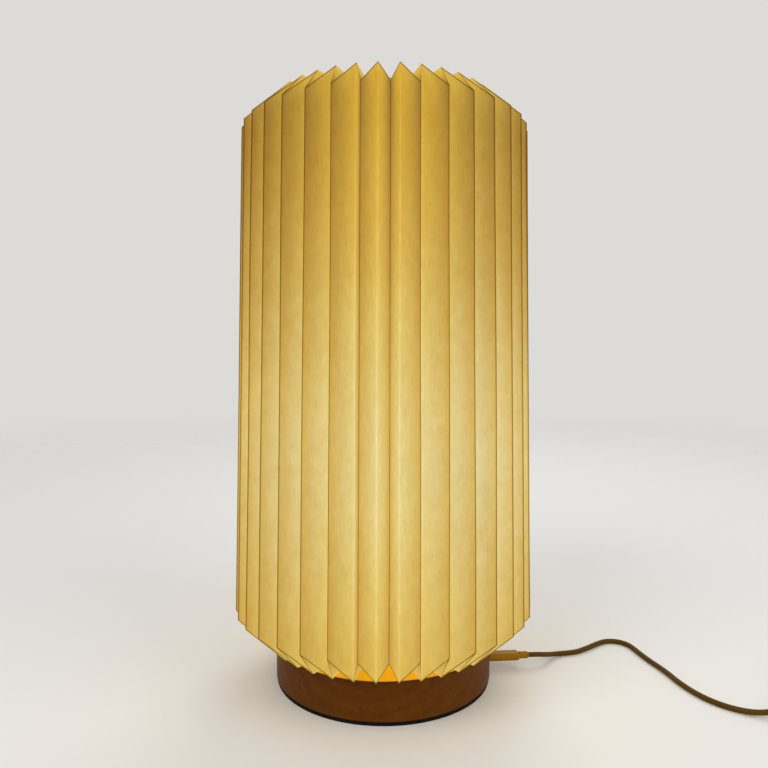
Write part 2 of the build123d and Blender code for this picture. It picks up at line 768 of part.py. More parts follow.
with BuildPart() as bottom_flange_pleat:
    add(pleat_core(PAPER, flange_core))
    add(flange_tunnel(shade_bottom + flange_lift, notch_bottom + flange_lift, -1), mode=Mode.INTERSECT)
    add(tunnel_below, mode=Mode.SUBTRACT)
    with BuildSketch(Plane.XY.offset(shade_bottom)):
        Circle(FLANGE_RADIUS)
    extrude(amount=SHADE_HEIGHT, mode=Mode.SUBTRACT)

with BuildPart() as top_flange_pleat:
    add(pleat_core(PAPER, flange_core))
    add(flange_tunnel(shade_top - flange_lift, notch_top - flange_lift, 1), mode=Mode.INTERSECT)
    add(tunnel_above, mode=Mode.SUBTRACT)
    with BuildSketch(Plane.XY.offset(shade_bottom)):
        Circle(FLANGE_RADIUS)
    extrude(amount=SHADE_HEIGHT, mode=Mode.SUBTRACT)

with BuildPart() as paper_shade:
    with PolarLocations(0, PLEATS, start_angle=SHADE_TURN - 90):
        add(wall_pleat.part)
    for cut in cut_planes(WALL_PLEATS_EACH):
        split(bisect_by=cut, keep=Keep.BOTH)
paper_shade.part.label = "paper_shade"
export_step(paper_shade.part, "parts/paper_shade.step")

with BuildPart() as paper_bottom_flange:
    with PolarLocations(0, PLEATS, start_angle=SHADE_TURN - 90):
        add(bottom_flange_pleat.part)
    for cut in cut_planes(FLANGE_PLEATS_EACH):
        split(bisect_by=cut, keep=Keep.BOTH)
paper_bottom_flange.part.label = "paper_bottom_flange"
export_step(paper_bottom_flange.part, "parts/paper_bottom_flange.step")

with BuildPart() as paper_top_flange:
    with PolarLocations(0, PLEATS, start_angle=SHADE_TURN - 90):
        add(top_flange_pleat.part)
    for cut in cut_planes(FLANGE_PLEATS_EACH):
        split(bisect_by=cut, keep=Keep.BOTH)
paper_top_flange.part.label = "paper_top_flange"
export_step(paper_top_flange.part, "parts/paper_top_flange.step")

with BuildPart() as bottom_hoop:
    ring(FLANGE_RADIUS, hoop_inner, shade_bottom, BOTTOM_HOOP_HEIGHT)
bottom_hoop.part.label = "bottom_hoop"
export_step(bottom_hoop.part, "parts/bottom_hoop.step")

with BuildPart() as top_hoop:
    ring(FLANGE_RADIUS, hoop_inner, shade_top - TOP_HOOP_HEIGHT, TOP_HOOP_HEIGHT)
top_hoop.part.label = "top_hoop"
export_step(top_hoop.part, "parts/top_hoop.step")

# ---------------------------------------------------------------- plug in the base

shell_length, shell_width, shell_thickness = PLUG_SHELL
body_length, body_width, body_thickness = PLUG_BODY

with BuildPart() as plug_shell:
    with BuildSketch(port_plane(plug_face - shell_length)):
        SlotOverall(shell_width, shell_thickness)
        SlotOverall(
            shell_width - 2 * PLUG_SHELL_WALL, shell_thickness - 2 * PLUG_SHELL_WALL, mode=Mode.SUBTRACT
        )
    extrude(amount=shell_length)
plug_shell.part.label = "plug_shell"
export_step(plug_shell.part, "parts/plug_shell.step")

with BuildPart() as plug_body:
    with BuildSketch(port_plane(plug_face)):
        RectangleRounded(body_width, body_thickness, PLUG_ROUND)
    extrude(amount=body_length)
    chamfer(plug_body.faces().sort_by(Axis((0, 0, 0), port_axis))[-1].edges(), PLUG_BEVEL)
plug_body.part.label = "plug_body"
export_step(plug_body.part, "parts/plug_body.step")

with BuildPart() as plug_relief:
    with BuildSketch(port_plane(plug_back)):
        Circle(RELIEF_START)
    extrude(amount=RELIEF_COLLAR)
    with BuildSketch(port_plane(plug_back + RELIEF_COLLAR)):
        Circle(RELIEF_START)
    with BuildSketch(port_plane(relief_end)):
        Circle(RELIEF_END)
    loft()
    for groove in (plug_back, plug_back + RELIEF_COLLAR):
        with BuildSketch(port_plane(groove)):
            Circle(RELIEF_START + OVER)
            Circle(lead_radius + RING_GROOVE / 2, mode=Mode.SUBTRACT)
        extrude(amount=RING_GROOVE, mode=Mode.SUBTRACT)
plug_relief.part.label = "plug_relief"
export_step(plug_relief.part, "parts/plug_relief.step")

# ---------------------------------------------------------------- lead

switch_length, switch_width, switch_height = SWITCH_SIZE
switch_entry = SWITCH_X - switch_length / 2 - SWITCH_RELIEF
switch_exit = SWITCH_X + switch_length / 2 + SWITCH_RELIEF
coil_bottom = TIE_THICKNESS + TIE_GAP + lead_radius
coil_top = coil_bottom + LAYER_RISE
coil_start = COIL_X + COIL_INNER + COIL_STEP * COIL_IN_HALVES
coil_end = COIL_X + COIL_INNER + COIL_STEP * COIL_OUT_HALVES
far_height = FAR_BODY[2] / 2
far_axis = Vector(cos(radians(FAR_TURN)), sin(radians(FAR_TURN)), 0)
straight_end = 6.5

# The lead's route to the switch lies on the surface and follows the photograph's curve.
lead_route = [
    tuple(port_point(relief_end, 0, PORT_HEIGHT)),
    tuple(port_point(relief_end + straight_end, 0, PORT_HEIGHT)),
    (118.0, 13.2, 5.9),
    (124.5, 19.6, 3.2),
    (133.5, 24.8, 1.75),
    (145.5, 27.0, 1.75),
    (157.5, 35.3, 1.75),
    (168.5, 44.3, 1.75),
    (176.2, 47.9, 1.75),
    (184.3, 46.5, 1.75),
    (190.0, 40.7, 1.75),
    (191.9, 31.0, 1.75),
    (194.5, 15.0, 1.75),
    (200.0, -4.0, 1.75),
    (202.5, -23.0, 1.75),
    (208.5, -41.0, 1.75),
    (219.0, -54.5, 1.75),
    (232.0, -62.0, 2.2),
    (242.5, -65.2, 4.9),
    (switch_entry - straight_end, SWITCH_Y, SWITCH_SPLIT),
    (switch_entry, SWITCH_Y, SWITCH_SPLIT),
]

# From the switch the lead turns back towards the coil.
link_route = [
    (switch_exit, SWITCH_Y, SWITCH_SPLIT),
    (switch_exit + straight_end, SWITCH_Y, SWITCH_SPLIT),
    (329.5, -64.2, 4.3),
    (338.0, -58.5, 1.85),
    (344.0, -47.5, 1.9),
    (coil_start, -32.0, coil_bottom),
    (coil_start, COIL_Y, coil_bottom),
]

# The last stretch comes down off the coil to the far plug.
tail_route = [
    (coil_end, COIL_Y, coil_top),
    (coil_end, COIL_Y + straight_end, coil_top),
    (347.9, -1.5, 5.7),
    (350.0, 9.0, 4.6),
    (352.9, 18.5, far_height),
    (352.9 + straight_end * far_axis.X, 18.5 + straight_end * far_axis.Y, far_height),
]


def corner_radii(route):
    """Each corner's arc takes 0.45 of its shorter run on both sides."""
    radii = []
    for before, corner, after in zip(route, route[1:], route[2:]):
        incoming = Vector(corner) - Vector(before)
        outgoing = Vector(after) - Vector(corner)
        turn = radians(incoming.get_angle(outgoing))
        radii.append(0.45 * min(incoming.length, outgoing.length) / tan(turn / 2))
    return radii


def cord_tube(name, route):
    """A stretch of the lead along its route, with its radii and volume printed."""
    radii = corner_radii(route)
    with BuildPart() as stretch:
        length = tube(route, lead_radius, radii)
    stretch.part.label = name
    export_step(stretch.part, f"parts/{name}.step")
    expected = pi * lead_radius**2 * length
    print(f"{name}: length {length:.1f}, volume {stretch.part.volume:.1f} of {expected:.1f}")
    print(f"{name}: radii", [round(radius, 1) for radius in radii])
    return length


lead_length = cord_tube("cord_lead", lead_route)
link_length = cord_tube("cord_link", link_route)
tail_length = cord_tube("cord_tail", tail_route)

# The coil's turns: half circles whose ends lie on one line through its middle. They spiral in on the
# lower layer, climb a layer in the half turn where the spiral reverses, and spiral out again on top.
coil_radii = [coil_start - COIL_X - COIL_STEP * k for k in range(COIL_IN_HALVES)] + 2 * [COIL_CLIMB]
coil_radii += [COIL_INNER + COIL_STEP * (k + 1) for k in range(COIL_OUT_HALVES)]
coil_heights = [coil_bottom] * (COIL_IN_HALVES + 1) + [coil_top] * (COIL_OUT_HALVES + 1)
coil_corners = [
    Vector(COIL_X + (-1) ** k * radius, COIL_Y, height)
    for k, (radius, height) in enumerate(zip(coil_radii, coil_heights))
]

with BuildPart() as cord_coil:
    with BuildLine() as coil_turns:
        for k, (begin, end) in enumerate(zip(coil_corners, coil_corners[1:])):
            bulge = Vector(0, (-1) ** k * (end - begin).length / 2, 0)
            ThreePointArc(begin, (begin + end) * 0.5 + bulge, end)
    coil_path = coil_turns.wires()[0]
    with BuildSketch(Plane(origin=coil_path @ 0, z_dir=coil_path % 0)) as cord_section:
        Circle(lead_radius)
    sweep(cord_section.sketch, path=coil_path)
cord_coil.part.label = "cord_coil"
export_step(cord_coil.part, "parts/cord_coil.step")

coil_length = coil_path.length
coil_steps = int(coil_length / lead_radius)
coil_points = [tuple(coil_path @ (k / coil_steps)) for k in range(coil_steps + 1)]
near_steps = int(3 * LEAD_DIAMETER / lead_radius)
coil_gap = min(
    dist(coil_points[a], coil_points[b])
    for a in range(coil_steps)
    for b in range(a + near_steps, coil_steps + 1)
) - LEAD_DIAMETER
print(f"cord_coil: length {coil_length:.1f}, volume {cord_coil.part.volume:.1f}")
print(f"cord_coil: volume expected {pi * lead_radius**2 * coil_length:.1f}")
print(f"cord_coil: least gap to itself {coil_gap:.2f}, tightest radius {COIL_CLIMB:.1f}")
assert coil_gap > 0.4

tie_inner = COIL_CLIMB - lead_radius - TIE_SLACK
tie_outer = COIL_INNER + COIL_STEP * COIL_IN_HALVES + lead_radius + TIE_GAP
tie_low = coil_bottom - lead_radius - TIE_GAP
tie_high = coil_top + lead_radius + TIE_GAP

with BuildPart() as cord_tie:
    with BuildSketch(Plane.XZ.offset(-COIL_Y)):
        with Locations((COIL_X - (tie_inner + tie_outer) / 2, (tie_low + tie_high) / 2)):
            tie_wide = tie_outer - tie_inner
            tie_tall = tie_high - tie_low
            RectangleRounded(tie_wide + 2 * TIE_THICKNESS, tie_tall + 2 * TIE_THICKNESS, lead_radius)
            RectangleRounded(tie_wide, tie_tall, lead_radius - TIE_THICKNESS, mode=Mode.SUBTRACT)
    extrude(amount=TIE_WIDTH / 2, both=True)
cord_tie.part.label = "cord_tie"
export_step(cord_tie.part, "parts/cord_tie.step")

# ---------------------------------------------------------------- inline switch

switch_middle = Plane(origin=(SWITCH_X, SWITCH_Y, 0), z_dir=(0, 0, 1))
pivot_height = switch_height - ROCKER_PIN_DEPTH
rocker_pivot = (SWITCH_X, SWITCH_Y, pivot_height)
screw_places = [(side * SWITCH_SCREW_OFFSET, 0) for side in (-1, 1)]
pin_plane = Plane(origin=rocker_pivot, x_dir=(1, 0, 0), z_dir=(0, -1, 0))
tilt = radians(ROCKER_TILT)
rocker_plane = Plane(origin=rocker_pivot, x_dir=(cos(tilt), 0, -sin(tilt)), z_dir=(0, -1, 0))
rocker_length, rocker_width = ROCKER_SIZE
rocker_end_rise = ROCKER_MIDDLE_RISE + rocker_length * tan(tilt)

with BuildPart() as switch_base:
    with BuildSketch(switch_middle):
        RectangleRounded(switch_length, switch_width, SWITCH_CORNER)
    extrude(amount=SWITCH_SPLIT)
    fillet(switch_base.edges().group_by(Axis.Z)[0], SWITCH_EDGE)
    with BuildSketch(switch_middle.offset(SWITCH_WALL)):
        RectangleRounded(
            switch_length - 2 * SWITCH_WALL, switch_width - 2 * SWITCH_WALL, SWITCH_CORNER - SWITCH_WALL
        )
    extrude(amount=SWITCH_SPLIT, mode=Mode.SUBTRACT)
    with BuildSketch(switch_middle):
        with Locations(*screw_places):
            Circle(SWITCH_SCREW_HEAD + SWITCH_WALL / 2)
    extrude(amount=SWITCH_SPLIT)
    with BuildSketch(switch_middle):
        with Locations(*screw_places):
            Circle(SWITCH_SCREW_HEAD + TOUCH_GAP)
    extrude(amount=SWITCH_SCREW_HEAD_HEIGHT + FIT_GAP, mode=Mode.SUBTRACT)
    with BuildSketch(switch_middle):
        with Locations(*screw_places):
            Circle(SWITCH_SCREW_RADIUS + TOUCH_GAP)
    extrude(amount=SWITCH_SPLIT, mode=Mode.SUBTRACT)
switch_base.part.label = "switch_base"
export_step(switch_base.part, "parts/switch_base.step")

with BuildPart() as switch_cover:
    with BuildSketch(switch_middle.offset(SWITCH_SPLIT)):
        RectangleRounded(switch_length, switch_width, SWITCH_CORNER)
    extrude(amount=switch_height - SWITCH_SPLIT)
    fillet(switch_cover.edges().group_by(Axis.Z)[-1], SWITCH_EDGE)
    with BuildSketch(switch_middle.offset(SWITCH_SPLIT)):
        RectangleRounded(
            switch_length - 2 * SWITCH_WALL, switch_width - 2 * SWITCH_WALL, SWITCH_CORNER - SWITCH_WALL
        )
    extrude(amount=switch_height - SWITCH_SPLIT - SWITCH_WALL, mode=Mode.SUBTRACT)
    with BuildSketch(switch_middle.offset(SWITCH_SPLIT)):
        with Locations(*screw_places):
            Circle(SWITCH_SCREW_HEAD)
    extrude(amount=switch_height - SWITCH_SPLIT - SWITCH_WALL)
    with BuildSketch(switch_middle.offset(SWITCH_SPLIT)):
        with Locations(*screw_places):
            Circle(SWITCH_SCREW_RADIUS)
    extrude(amount=SWITCH_SCREW_BITE, mode=Mode.SUBTRACT)
    # ears that hang from the roof and carry the rocker's pin
    with BuildSketch(switch_middle.offset(pivot_height - EAR_DROP)):
        with Locations(*[(0, side * (rocker_width + EAR_THICKNESS) / 2) for side in (-1, 1)]):
            Rectangle(EAR_WIDTH, EAR_THICKNESS)
    extrude(amount=switch_height - pivot_height + EAR_DROP - SWITCH_WALL / 2)
    with BuildSketch(switch_middle.offset(SWITCH_SPLIT)):
        Rectangle(*ROCKER_SIZE)
    extrude(amount=switch_height, mode=Mode.SUBTRACT)
    with BuildSketch(pin_plane):
        Circle(ROCKER_PIN_RADIUS)
    extrude(amount=rocker_width / 2 + EAR_THICKNESS, both=True, mode=Mode.SUBTRACT)
switch_cover.part.label = "switch_cover"
export_step(switch_cover.part, "parts/switch_cover.step")

with BuildPart() as switch_rocker:
    with BuildSketch(rocker_plane):
        with BuildLine():
            Polyline(
                (-rocker_length, rocker_end_rise),
                (0, ROCKER_MIDDLE_RISE),
                (rocker_length, rocker_end_rise),
                (rocker_length, -ROCKER_DROP),
                (-rocker_length, -ROCKER_DROP),
                close=True,
            )
        make_face()
        Circle(rocker_length / 2 - ROCKER_GAP, mode=Mode.INTERSECT)
        Circle(ROCKER_PIN_RADIUS + TOUCH_GAP, mode=Mode.SUBTRACT)
    extrude(amount=rocker_width / 2 - ROCKER_GAP, both=True)
switch_rocker.part.label = "switch_rocker"
export_step(switch_rocker.part, "parts/switch_rocker.step")

with BuildPart() as rocker_pin:
    with BuildSketch(pin_plane):
        Circle(ROCKER_PIN_RADIUS)
    extrude(amount=rocker_width / 2 + EAR_THICKNESS, both=True)
rocker_pin.part.label = "rocker_pin"
export_step(rocker_pin.part, "parts/rocker_pin.step")

with BuildPart() as switch_screws:
    with BuildSketch(switch_middle.offset(FIT_GAP)):
        with Locations(*screw_places):
            Circle(SWITCH_SCREW_HEAD)
    extrude(amount=SWITCH_SCREW_HEAD_HEIGHT)
    with BuildSketch(switch_middle.offset(FIT_GAP)):
        with Locations(*screw_places):
            Circle(SWITCH_SCREW_RADIUS)
    extrude(amount=SWITCH_SPLIT + SWITCH_SCREW_BITE - 2 * FIT_GAP)
switch_screws.part.label = "switch_screws"
export_step(switch_screws.part, "parts/switch_screws.step")

with BuildPart() as switch_terminals:
    with BuildSketch(switch_middle.offset(SWITCH_WALL)):
        with Locations(*[(side * TERMINAL_OFFSET, 0) for side in (-1, 1)]):
            Rectangle(TERMINAL_SIZE[0], TERMINAL_SIZE[1])
    extrude(amount=TERMINAL_SIZE[2])
switch_terminals.part.label = "switch_terminals"
export_step(switch_terminals.part, "parts/switch_terminals.step")

with BuildPart() as switch_reliefs:
    for side in (-1, 1):
        for reach, radius in ((0, RELIEF_START + RING_GROOVE), (SWITCH_RELIEF, RELIEF_END)):
            origin = (SWITCH_X + side * (switch_length / 2 + reach), SWITCH_Y, SWITCH_SPLIT)
            with BuildSketch(Plane(origin=origin, z_dir=(side, 0, 0))):
                Circle(radius)
        loft()
switch_reliefs.part.label = "switch_reliefs"
export_step(switch_reliefs.part, "parts/switch_reliefs.step")

# ---------------------------------------------------------------- plug at the far end

far_start = Vector(*tail_route[-1])


def far_plane(along, rise=0):
    """The plane square to the far plug, at a distance from the end of the lead."""
    return Plane(
        origin=far_start + far_axis * along + Vector(0, 0, rise),
        x_dir=(-far_axis.Y, far_axis.X, 0),
        z_dir=far_axis,
    )


far_face = FAR_RELIEF + FAR_BODY[0]

with BuildPart() as far_plug_body:
    with BuildSketch(far_plane(FAR_RELIEF)):
        RectangleRounded(FAR_BODY[1], FAR_BODY[2], FAR_BODY_ROUND)
    extrude(amount=FAR_BODY[0])
    with BuildSketch(far_plane(0)):
        Circle(RELIEF_END)
    with BuildSketch(far_plane(FAR_RELIEF)):
        Circle(RELIEF_START + RING_GROOVE)
    loft()
far_plug_body.part.label = "far_plug_body"
export_step(far_plug_body.part, "parts/far_plug_body.step")

with BuildPart() as far_plug_shell:
    with BuildSketch(far_plane(far_face)):
        Rectangle(FAR_SHELL[1], FAR_SHELL[2])
        Rectangle(
            FAR_SHELL[1] - 2 * FAR_SHELL_WALL, FAR_SHELL[2] - 2 * FAR_SHELL_WALL, mode=Mode.SUBTRACT
        )
    extrude(amount=FAR_SHELL[0])
far_plug_shell.part.label = "far_plug_shell"
export_step(far_plug_shell.part, "parts/far_plug_shell.step")

far_tongue_rise = FAR_SHELL[2] / 2 - FAR_SHELL_WALL - TOUCH_GAP - FAR_TONGUE[2] / 2

with BuildPart() as far_plug_tongue:
    with BuildSketch(far_plane(far_face, far_tongue_rise)):
        Rectangle(FAR_TONGUE[1], FAR_TONGUE[2])
    extrude(amount=FAR_TONGUE[0])
far_plug_tongue.part.label = "far_plug_tongue"
export_step(far_plug_tongue.part, "parts/far_plug_tongue.step")

whole_lead = lead_length + link_length + coil_length + tail_length + switch_length
print(f"whole lead, with the switch on it: {whole_lead:.0f}")
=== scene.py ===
# %% [markdown]
# # A pleated paper table lamp
# A sheet of paper is folded into a drum and stands on a turned wooden foot. A bulb inside makes the whole
# drum glow, and a thin lead lies on the table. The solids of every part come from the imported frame, so this
# script only dresses them: it folds the paper anew, lays the lead, and gives each part its finish.

# %% The frame
from math import cos, pi, radians, sin, tan

import bpy
import numpy as np
from mathutils import Matrix, Vector


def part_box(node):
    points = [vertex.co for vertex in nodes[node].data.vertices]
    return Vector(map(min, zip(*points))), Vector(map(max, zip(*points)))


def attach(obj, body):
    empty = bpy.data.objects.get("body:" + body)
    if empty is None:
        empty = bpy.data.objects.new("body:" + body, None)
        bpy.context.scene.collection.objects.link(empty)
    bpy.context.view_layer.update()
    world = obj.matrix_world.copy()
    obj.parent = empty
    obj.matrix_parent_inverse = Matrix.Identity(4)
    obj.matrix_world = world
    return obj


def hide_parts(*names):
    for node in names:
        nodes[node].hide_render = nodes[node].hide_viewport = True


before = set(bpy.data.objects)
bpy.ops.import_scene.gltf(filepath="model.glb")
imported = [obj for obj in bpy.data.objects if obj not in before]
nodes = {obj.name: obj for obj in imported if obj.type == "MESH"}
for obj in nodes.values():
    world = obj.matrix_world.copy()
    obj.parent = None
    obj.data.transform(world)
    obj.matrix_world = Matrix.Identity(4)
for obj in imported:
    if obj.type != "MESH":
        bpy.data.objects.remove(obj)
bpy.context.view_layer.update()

scene = bpy.context.scene
MM = 0.001
print("parts in the frame:", len(nodes))

# %% [markdown]
# ## The camera
# The camera stands just in front of the lamp, a little above its middle, and looks down by two degrees.
# A perspective camera that is this near shows the drum's top from below its rim and the foot from above it,
# which is why its distance matters as much as its focal length.

# %% The camera
CAMERA_PLACE = (0.0, -0.4772, 0.2213)
CAMERA_DIP = 0.035
CAMERA_ROLL = 0.003
FOCAL_PIXELS = 678.15
FRAME_PIXELS = 768
SENSOR_WIDTH = 36.0

camera_data = bpy.data.cameras.new("camera")
camera_data.sensor_width = SENSOR_WIDTH
camera_data.lens = SENSOR_WIDTH * FOCAL_PIXELS / FRAME_PIXELS
camera = bpy.data.objects.new("camera", camera_data)
scene.collection.objects.link(camera)
camera.matrix_world = (
    Matrix.Translation(CAMERA_PLACE)
    @ Matrix.Rotation(pi / 2 - CAMERA_DIP, 4, "X")
    @ Matrix.Rotation(CAMERA_ROLL, 4, "Z")
)
scene.camera = camera
print("lens in millimetres:", round(camera_data.lens, 2))

# %% [markdown]
# ## Shader sums
# A finish is easier to read as a formula than as a page of node links. The class Field stands for one
# socket's value: adding or multiplying fields adds Math nodes. The class Finish is a material in the making,
# and its method node() adds any other node from its settings and its inputs.


# %% Fields and finishes
class Field:
    """A value on its way through a material's nodes."""

    def __init__(self, finish, socket):
        self.finish = finish
        self.socket = socket

    def math(self, operation, *others):
        """A Math node that takes this value first and the others after it."""
        inputs = dict(enumerate((self, *others)))
        return self.finish.node("ShaderNodeMath", {"operation": operation}, inputs)

    def __add__(self, other):
        return self.math("ADD", other)

    def __sub__(self, other):
        return self.math("SUBTRACT", other)

    def __rsub__(self, other):
        return self.finish.node("ShaderNodeMath", {"operation": "SUBTRACT"}, {0: other, 1: self})

    def __mul__(self, other):
        return self.math("MULTIPLY", other)

    def __truediv__(self, other):
        return self.math("DIVIDE", other)

    def __pow__(self, other):
        return self.math("POWER", other)

    __radd__ = __add__
    __rmul__ = __mul__

    def clamped(self):
        """The value, kept from 0 to 1."""
        return self.math("MAXIMUM", 0.0).math("MINIMUM", 1.0)


class Finish:
    """A material in the making, built on Blender's Principled shader."""

    def __init__(self, name):
        self.material = bpy.data.materials.new(name)
        self.material.use_nodes = True
        self.tree = self.material.node_tree
        self.shader = self.tree.nodes["Principled BSDF"]

    def node(self, kind, settings=None, inputs=None, output=0):
        """Adds a node, and gives the value that leaves it at the named or numbered output."""
        made = self.tree.nodes.new(kind)
        for name, value in (settings or {}).items():
            if name == "stops":
                fill_ramp(made.color_ramp, value)
            else:
                setattr(made, name, value)
        for name, value in (inputs or {}).items():
            self.feed(made.inputs[name], value)
        return Field(self, made.outputs[output])

    def feed(self, socket, value):
        """Links a field to a socket, or stores a plain value in it."""
        if isinstance(value, Field):
            self.tree.links.new(value.socket, socket)
        elif isinstance(value, tuple) and socket.type == "RGBA":
            socket.default_value = (*value, 1.0)
        else:
            socket.default_value = value

    def set(self, **sockets):
        """Feeds the shader: base_color becomes Base Color, and so on."""
        for name, value in sockets.items():
            self.feed(self.shader.inputs[SHADER_SOCKETS[name]], value)
        return self

    def place(self):
        return self.node("ShaderNodeTexCoord", output="Object")

    def axis(self, letter):
        return self.node("ShaderNodeSeparateXYZ", inputs={0: self.place()}, output=letter)

    def attribute(self, name):
        return self.node("ShaderNodeAttribute", {"attribute_name": name}, output="Fac")

    def noise(self, scale, detail=2.0, stretch=(1.0, 1.0, 1.0)):
        """Soft noise round 0.5, with the pattern stretched along the axes where the number is small."""
        mapped = self.node("ShaderNodeMapping", inputs={"Vector": self.place(), "Scale": stretch})
        return self.node("ShaderNodeTexNoise", inputs={"Vector": mapped, "Scale": scale, "Detail": detail})

    def ramp(self, field, *stops):
        return self.node("ShaderNodeValToRGB", {"stops": stops}, {"Fac": field})

    def mix(self, share, first, second):
        """A colour between two, where share is 0 for the first."""
        inputs = {0: share, MIX_FIRST: first, MIX_SECOND: second}
        return self.node("ShaderNodeMix", {"data_type": "RGBA"}, inputs, output=MIX_RESULT)

    def scaled(self, colour, factor):
        return self.node("ShaderNodeVectorMath", {"operation": "SCALE"}, {0: colour, "Scale": factor})

    def tinted(self, colour, tint):
        return self.node("ShaderNodeVectorMath", {"operation": "MULTIPLY"}, {0: colour, 1: tint})

    def bump(self, height, depth, strength=1.0):
        """Raises the surface by height times depth, in metres."""
        inputs = {"Height": height, "Distance": depth, "Strength": strength}
        return self.set(normal=self.node("ShaderNodeBump", inputs=inputs))


# a Mix node has sockets for several kinds of value, and these are the numbers of those for colours
MIX_FIRST, MIX_SECOND, MIX_RESULT = 6, 7, 2
SHADER_SOCKETS = {
    "base_color": "Base Color",
    "roughness": "Roughness",
    "metallic": "Metallic",
    "normal": "Normal",
    "specular": "Specular IOR Level",
    "coat": "Coat Weight",
    "glow": "Emission Color",
    "glow_strength": "Emission Strength",
    "alpha": "Alpha",
}


def fill_ramp(color_ramp, stops):
    """Sets a colour ramp's stops, each a place from 0 to 1 and a colour."""
    while len(color_ramp.elements) < len(stops):
        color_ramp.elements.new(1.0)
    for element, (place, colour) in zip(color_ramp.elements, stops):
        element.position = place
        element.color = (*colour, 1.0)


def dress(finish, *names):
    """Gives a finish to parts of the frame."""
    for name in names:
        for material_slot in nodes[name].material_slots:
            material_slot.material = finish.material


# %% [markdown]
# ## The lead
# The lead is one flexible cable with an inline switch. From the plug it runs to the switch in loose curves
# on the table. What the picture doesn't show is wound into a small coil of two layers beside it. A NURBS
# curve of order 3 is the natural line here: it is smooth and follows a few listed points, and the coil's
# turns are half circles worked out in a loop.

# %% The lead's points, in millimetres
LEAD_DIAMETER = 3.5
ON_TABLE = LEAD_DIAMETER / 2
PORT_TURN = radians(5.0)
PORT_HEIGHT = 7.5
RELIEF_END = 105.8
STRAIGHT_END = 6.5
SWITCH_ENTRY = (257.0, -66.0, 6.5)
SWITCH_EXIT = (315.0, -66.0, 6.5)
COIL_MIDDLE = (317.0, -18.0)
COIL_HEIGHTS = (2.35, 6.35)
COIL_STEP = 2.0
COIL_CLIMB = 13.4
COIL_OUTSIDE = (28.0, 30.0)
POINTS_IN_HALF_TURN = 12


def before_port(reach):
    """A point in line with the port, this far from the lamp's axis."""
    return (reach * cos(PORT_TURN), reach * sin(PORT_TURN), PORT_HEIGHT)


lead_points = [
    before_port(RELIEF_END),
    before_port(RELIEF_END + STRAIGHT_END),
    (118.0, 13.2, 5.9),
    (124.5, 19.6, 3.2),
    (133.5, 24.8, ON_TABLE),
    (145.5, 27.0, ON_TABLE),
    (157.5, 35.3, ON_TABLE),
    (168.5, 44.3, ON_TABLE),
    (176.2, 47.9, ON_TABLE),
    (184.3, 46.5, ON_TABLE),
    (190.0, 40.7, ON_TABLE),
    (191.9, 31.0, ON_TABLE),
    (194.5, 15.0, ON_TABLE),
    (200.0, -4.0, ON_TABLE),
    (202.5, -23.0, ON_TABLE),
    (208.5, -41.0, ON_TABLE),
    (219.0, -54.5, ON_TABLE),
    (232.0, -62.0, 2.2),
    (242.5, -65.2, 4.9),
    (250.5, -66.0, 6.5),
    SWITCH_ENTRY,
]
link_points = [
    SWITCH_EXIT,
    (SWITCH_EXIT[0] + STRAIGHT_END, *SWITCH_EXIT[1:]),
    (329.5, -64.2, 4.3),
    (338.0, -58.5, 1.85),
    (344.0, -47.5, 1.9),
    (345.0, -32.0, 2.35),
    (345.0, -22.0, 2.35),
]
tail_points = [
    (347.0, -13.0, 6.35),
    (347.9, -1.5, 5.7),
    (350.0, 9.0, 4.6),
    (352.9, 18.5, 4.2),
    (354.909, 24.682, 4.2),
]

# %% The coil's turns
radii_in = np.arange(COIL_OUTSIDE[0], COIL_CLIMB + COIL_STEP, -COIL_STEP)
radii_out = np.arange(COIL_OUTSIDE[1], COIL_CLIMB + COIL_STEP, -COIL_STEP)[::-1]
turn_radii = [*radii_in, COIL_CLIMB, COIL_CLIMB, *radii_out]
turn_heights = [COIL_HEIGHTS[0]] * (len(radii_in) + 1) + [COIL_HEIGHTS[1]] * (len(radii_out) + 1)
half_step = pi / POINTS_IN_HALF_TURN / 2
angles = np.linspace(half_step, pi - half_step, POINTS_IN_HALF_TURN)
coil_points = []
for k in range(len(turn_radii) - 1):
    side = (-1) ** k
    begin = np.array([COIL_MIDDLE[0] + side * turn_radii[k], COIL_MIDDLE[1], turn_heights[k]])
    end = np.array([COIL_MIDDLE[0] - side * turn_radii[k + 1], COIL_MIDDLE[1], turn_heights[k + 1]])
    middle, reach = (begin + end) / 2, (begin - end) / 2
    bulge = np.array([0.0, side * np.linalg.norm(reach), 0.0])
    # the spline cuts inside its points by the cosine of half a step, so they stand out by as much
    spokes = np.outer(np.cos(angles), reach) + np.outer(np.sin(angles), bulge)
    half_turn = middle + spokes / cos(half_step)
    coil_points += [tuple(point) for point in half_turn]
print("coil turns:", (len(turn_radii) - 1) / 2, "points:", len(coil_points))


# %% [markdown]
# The lead's skin is soft plastic whose tan colour is partly painted warm light from the lamp. Its surface is
# almost smooth, so the finish only varies the colour a little along the lead and adds a very fine grain.

# %% The lead's skin
# the lead's tan, partly its own colour and partly painted warm light from the lamp
CORD_TAN_IN_LAMPLIGHT = (0.110, 0.057, 0.001)
CORD_TAN_DARK_IN_LAMPLIGHT = (0.070, 0.036, 0.001)
GLOSS_SPREAD = 0.16


def moulded(name, light, dark, roughness, grain=900.0, depth=0.00004, specular=0.3):
    """A moulded plastic: two near colours in soft clouds, and a fine grain."""
    finish = Finish(name)
    clouds = finish.noise(38.0, 3.0)
    finish.set(
        base_color=finish.mix(clouds, light, dark),
        roughness=(finish.noise(grain) - 0.5) * GLOSS_SPREAD + roughness,
        specular=specular,
    )
    return finish.bump(finish.noise(grain), depth, 0.5)


cord_skin = moulded("cord_skin", CORD_TAN_IN_LAMPLIGHT, CORD_TAN_DARK_IN_LAMPLIGHT, roughness=0.48, specular=0.07)


